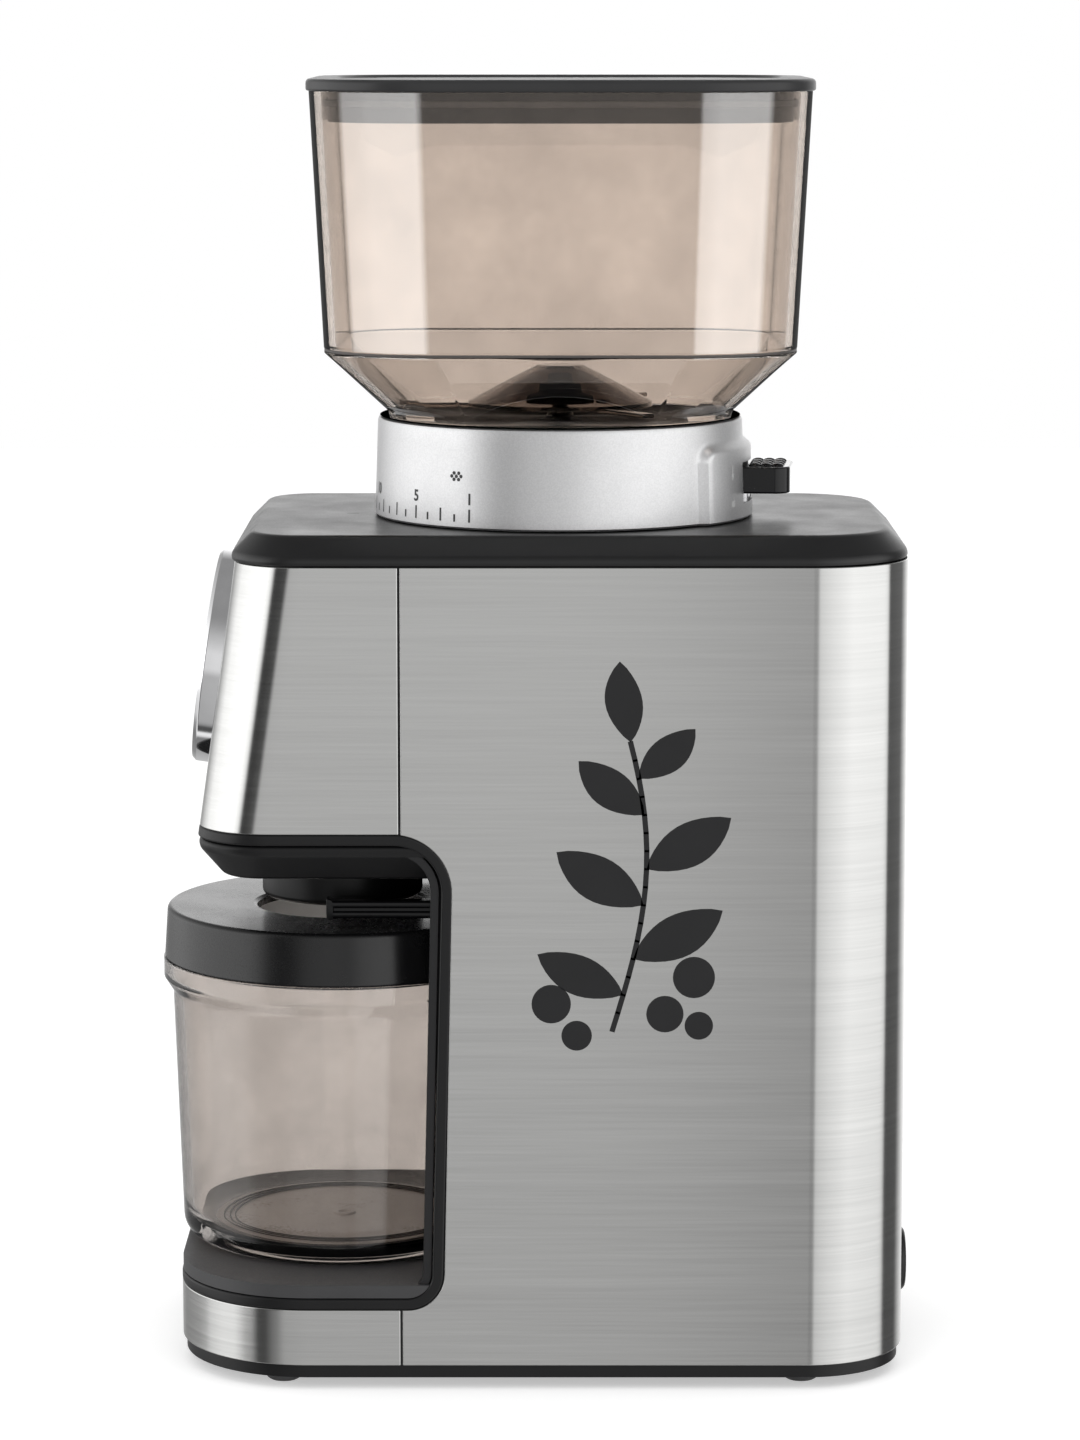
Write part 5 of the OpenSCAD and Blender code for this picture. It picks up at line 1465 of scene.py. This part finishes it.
CLEAR_PANELS = (
    (-180, 0.1), (-98, 0.1), (-91, 3.4), (-60, 5.0), (-14, 5.6), (-7, 0.2), (0, 0.2), (8, 0.2), (12, 4.4),
    (30, 5.6), (78, 4.8), (86, 0.1), (180, 0.1))


def panel_ramp(tree, turn, stops):
    """Grey level by compass angle."""
    ramp = add_node(tree, "ValToRGB", Fac=turn)
    ramp.color_ramp.interpolation = "LINEAR"
    points = ramp.color_ramp.elements
    points.remove(points[-1])
    for k, (degrees, level) in enumerate(stops):
        place = (degrees + 180) / 360
        element = points[0] if k == 0 else points.new(place)
        element.position = place
        element.color = (level, level, level, 1)
    return ramp.outputs["Color"]


def background(tree, colour, strength=1.0):
    return add_node(tree, "Background", Color=colour, Strength=strength).outputs[0]


def mix_shaders(tree, factor, a, b):
    node = tree.nodes.new("ShaderNodeMixShader")
    tree.links.new(factor, node.inputs[0])
    tree.links.new(a, node.inputs[1])
    tree.links.new(b, node.inputs[2])
    return node.outputs[0]


def world_light():
    """Even studio light: white where it is looked at, softly panelled where metal and clear walls reflect it."""
    world = bpy.data.worlds.new("studio")
    bpy.context.scene.world = world
    world.use_nodes = True
    tree = world.node_tree
    tree.nodes.clear()
    coords = add_node(tree, "TexCoord")
    split = add_node(tree, "SeparateXYZ", Vector=coords.outputs["Generated"])
    height = split.outputs["Z"]
    angle = math_node(tree, "ARCTAN2", split.outputs["Y"], split.outputs["X"])
    turn = map_range(tree, angle, -math.pi, math.pi, 0.0, 1.0)
    fade = map_range(tree, height, -0.276, -0.128, 0.66, 1.0)
    rise = map_range(tree, height, -0.24, -0.18, 0.0, 1.0)
    level = mix_colour(tree, rise, panel_ramp(tree, turn, LOW_PANELS), panel_ramp(tree, turn, HIGH_PANELS))
    level = mix_colour(tree, fade, BLACK, level)
    overhead = map_range(tree, height, 0.15, 0.75, 0.0, 1.0)
    panels = mix_colour(tree, overhead, level, (0.3, 0.3, 0.3, 1.0))

    rays = add_node(tree, "LightPath")
    mirrored = math_node(tree, "MULTIPLY", rays.outputs["Is Glossy Ray"], rays.outputs["Is Singular Ray"])
    seen = math_node(tree, "MAXIMUM", rays.outputs["Is Camera Ray"], rays.outputs["Is Transmission Ray"])
    shading = mix_shaders(tree, rays.outputs["Is Glossy Ray"], background(tree, WHITE, 0.75),
                          background(tree, panels))
    glare = map_range(tree, height, -0.3, -0.21, 0.1, 1.0)
    sheen = mix_colour(tree, glare, BLACK, panel_ramp(tree, turn, CLEAR_PANELS))
    shading = mix_shaders(tree, mirrored, shading, background(tree, sheen))
    shading = mix_shaders(tree, seen, shading, background(tree, WHITE))
    add_node(tree, "OutputWorld", Surface=shading)


def floor_material():
    """Pale floor: white where it is looked at, with the object's soft shadow."""
    made, tree, shader = principled("studio_floor", Base_Color=(0.8, 0.8, 0.8, 1), Roughness=0.9,
                                    Specular_IOR_Level=0.1, Emission_Color=WHITE)
    rays = add_node(tree, "LightPath")
    seen = math_node(tree, "MAXIMUM", rays.outputs["Is Camera Ray"], rays.outputs["Is Transmission Ray"])
    tree.links.new(math_node(tree, "MULTIPLY", seen, 0.45), shader.inputs["Emission Strength"])
    return made


def area_light(name, place, size, power):
    """Soft lamp that looks at the middle of the body."""
    deselect_all()
    bpy.ops.object.light_add(type="AREA", location=place)
    lamp = bpy.context.object
    lamp.name = name
    lamp.data.shape = "RECTANGLE"
    lamp.data.size, lamp.data.size_y = size
    lamp.data.energy = power
    lamp.visible_glossy = False
    lamp.rotation_euler = (Vector((0, 0, 0.2)) - Vector(place)).to_track_quat("-Z", "Y").to_euler()


class GRINDER_OT_stage(bpy.types.Operator):
    """Sets up the camera, the soft light and the plain floor"""

    bl_idname = "grinder.stage"
    bl_label = "Stage"

    def execute(self, context):
        target = Vector(LOOK_AT)
        place = target + Vector((math.cos(CAMERA_PITCH), 0, math.sin(CAMERA_PITCH))) * CAMERA_RANGE
        deselect_all()
        bpy.ops.object.camera_add(location=place)
        camera = bpy.context.object
        camera.name = "camera_side"
        camera.data.lens = LENS
        camera.data.sensor_width = SENSOR_W
        camera.data.clip_start = 0.01
        camera.rotation_euler = (target - place).to_track_quat("-Z", "Y").to_euler()
        context.scene.camera = camera

        deselect_all()
        bpy.ops.mesh.primitive_plane_add(size=6, location=(0, 0, 0))
        floor = settle(bpy.context.object)
        floor.name = "studio_floor"
        floor.data.materials.append(floor_material())
        floor.visible_glossy = False

        area_light("soft_top", (0.2, 0.1, 1.5), (1.2, 1.2), 5.0)
        area_light("soft_side", (1.3, -0.7, 0.9), (0.8, 0.8), 3.0)
        world_light()
        context.scene.view_settings.view_transform = "Standard"
        return {"FINISHED"}


# ---- sidebar, registration and the run ----

STEPS = (
    GRINDER_OT_stage, GRINDER_OT_skins, GRINDER_OT_trim, GRINDER_OT_hopper, GRINDER_OT_collar, GRINDER_OT_jar,
    GRINDER_OT_outlet, GRINDER_OT_panel, GRINDER_OT_print, GRINDER_OT_works)


class GRINDER_PT_sidebar(bpy.types.Panel):
    """Lists the grinder's sizes, colours and building steps"""

    bl_idname = "GRINDER_PT_sidebar"
    bl_label = "Coffee Grinder"
    bl_space_type = "VIEW_3D"
    bl_region_type = "UI"
    bl_category = "Grinder"

    def draw(self, context):
        for settings in (context.scene.grinder_sizes, context.scene.grinder_colours):
            box = self.layout.box()
            for key in settings.bl_rna.properties.keys():
                if key not in ("rna_type", "name"):
                    box.prop(settings, key)
        for step in STEPS:
            self.layout.operator(step.bl_idname)


CLASSES = (GrinderSizes, GrinderColours, *STEPS, GRINDER_PT_sidebar)


def register():
    for cls in CLASSES:
        bpy.utils.register_class(cls)
    bpy.types.Scene.grinder_sizes = PointerProperty(type=GrinderSizes)
    bpy.types.Scene.grinder_colours = PointerProperty(type=GrinderColours)


def unregister():
    del bpy.types.Scene.grinder_colours
    del bpy.types.Scene.grinder_sizes
    for cls in reversed(CLASSES):
        bpy.utils.unregister_class(cls)


def main():
    register()
    make_materials()
    bpy.ops.grinder.stage()
    bpy.ops.grinder.skins()
    bpy.ops.grinder.trim()
    bpy.ops.grinder.hopper()
    bpy.ops.grinder.collar()
    bpy.ops.grinder.jar()
    bpy.ops.grinder.outlet()
    bpy.ops.grinder.panel()
    bpy.ops.grinder.side_print()
    bpy.ops.grinder.works()
    deselect_all()


if __name__ == "__main__":
    main()
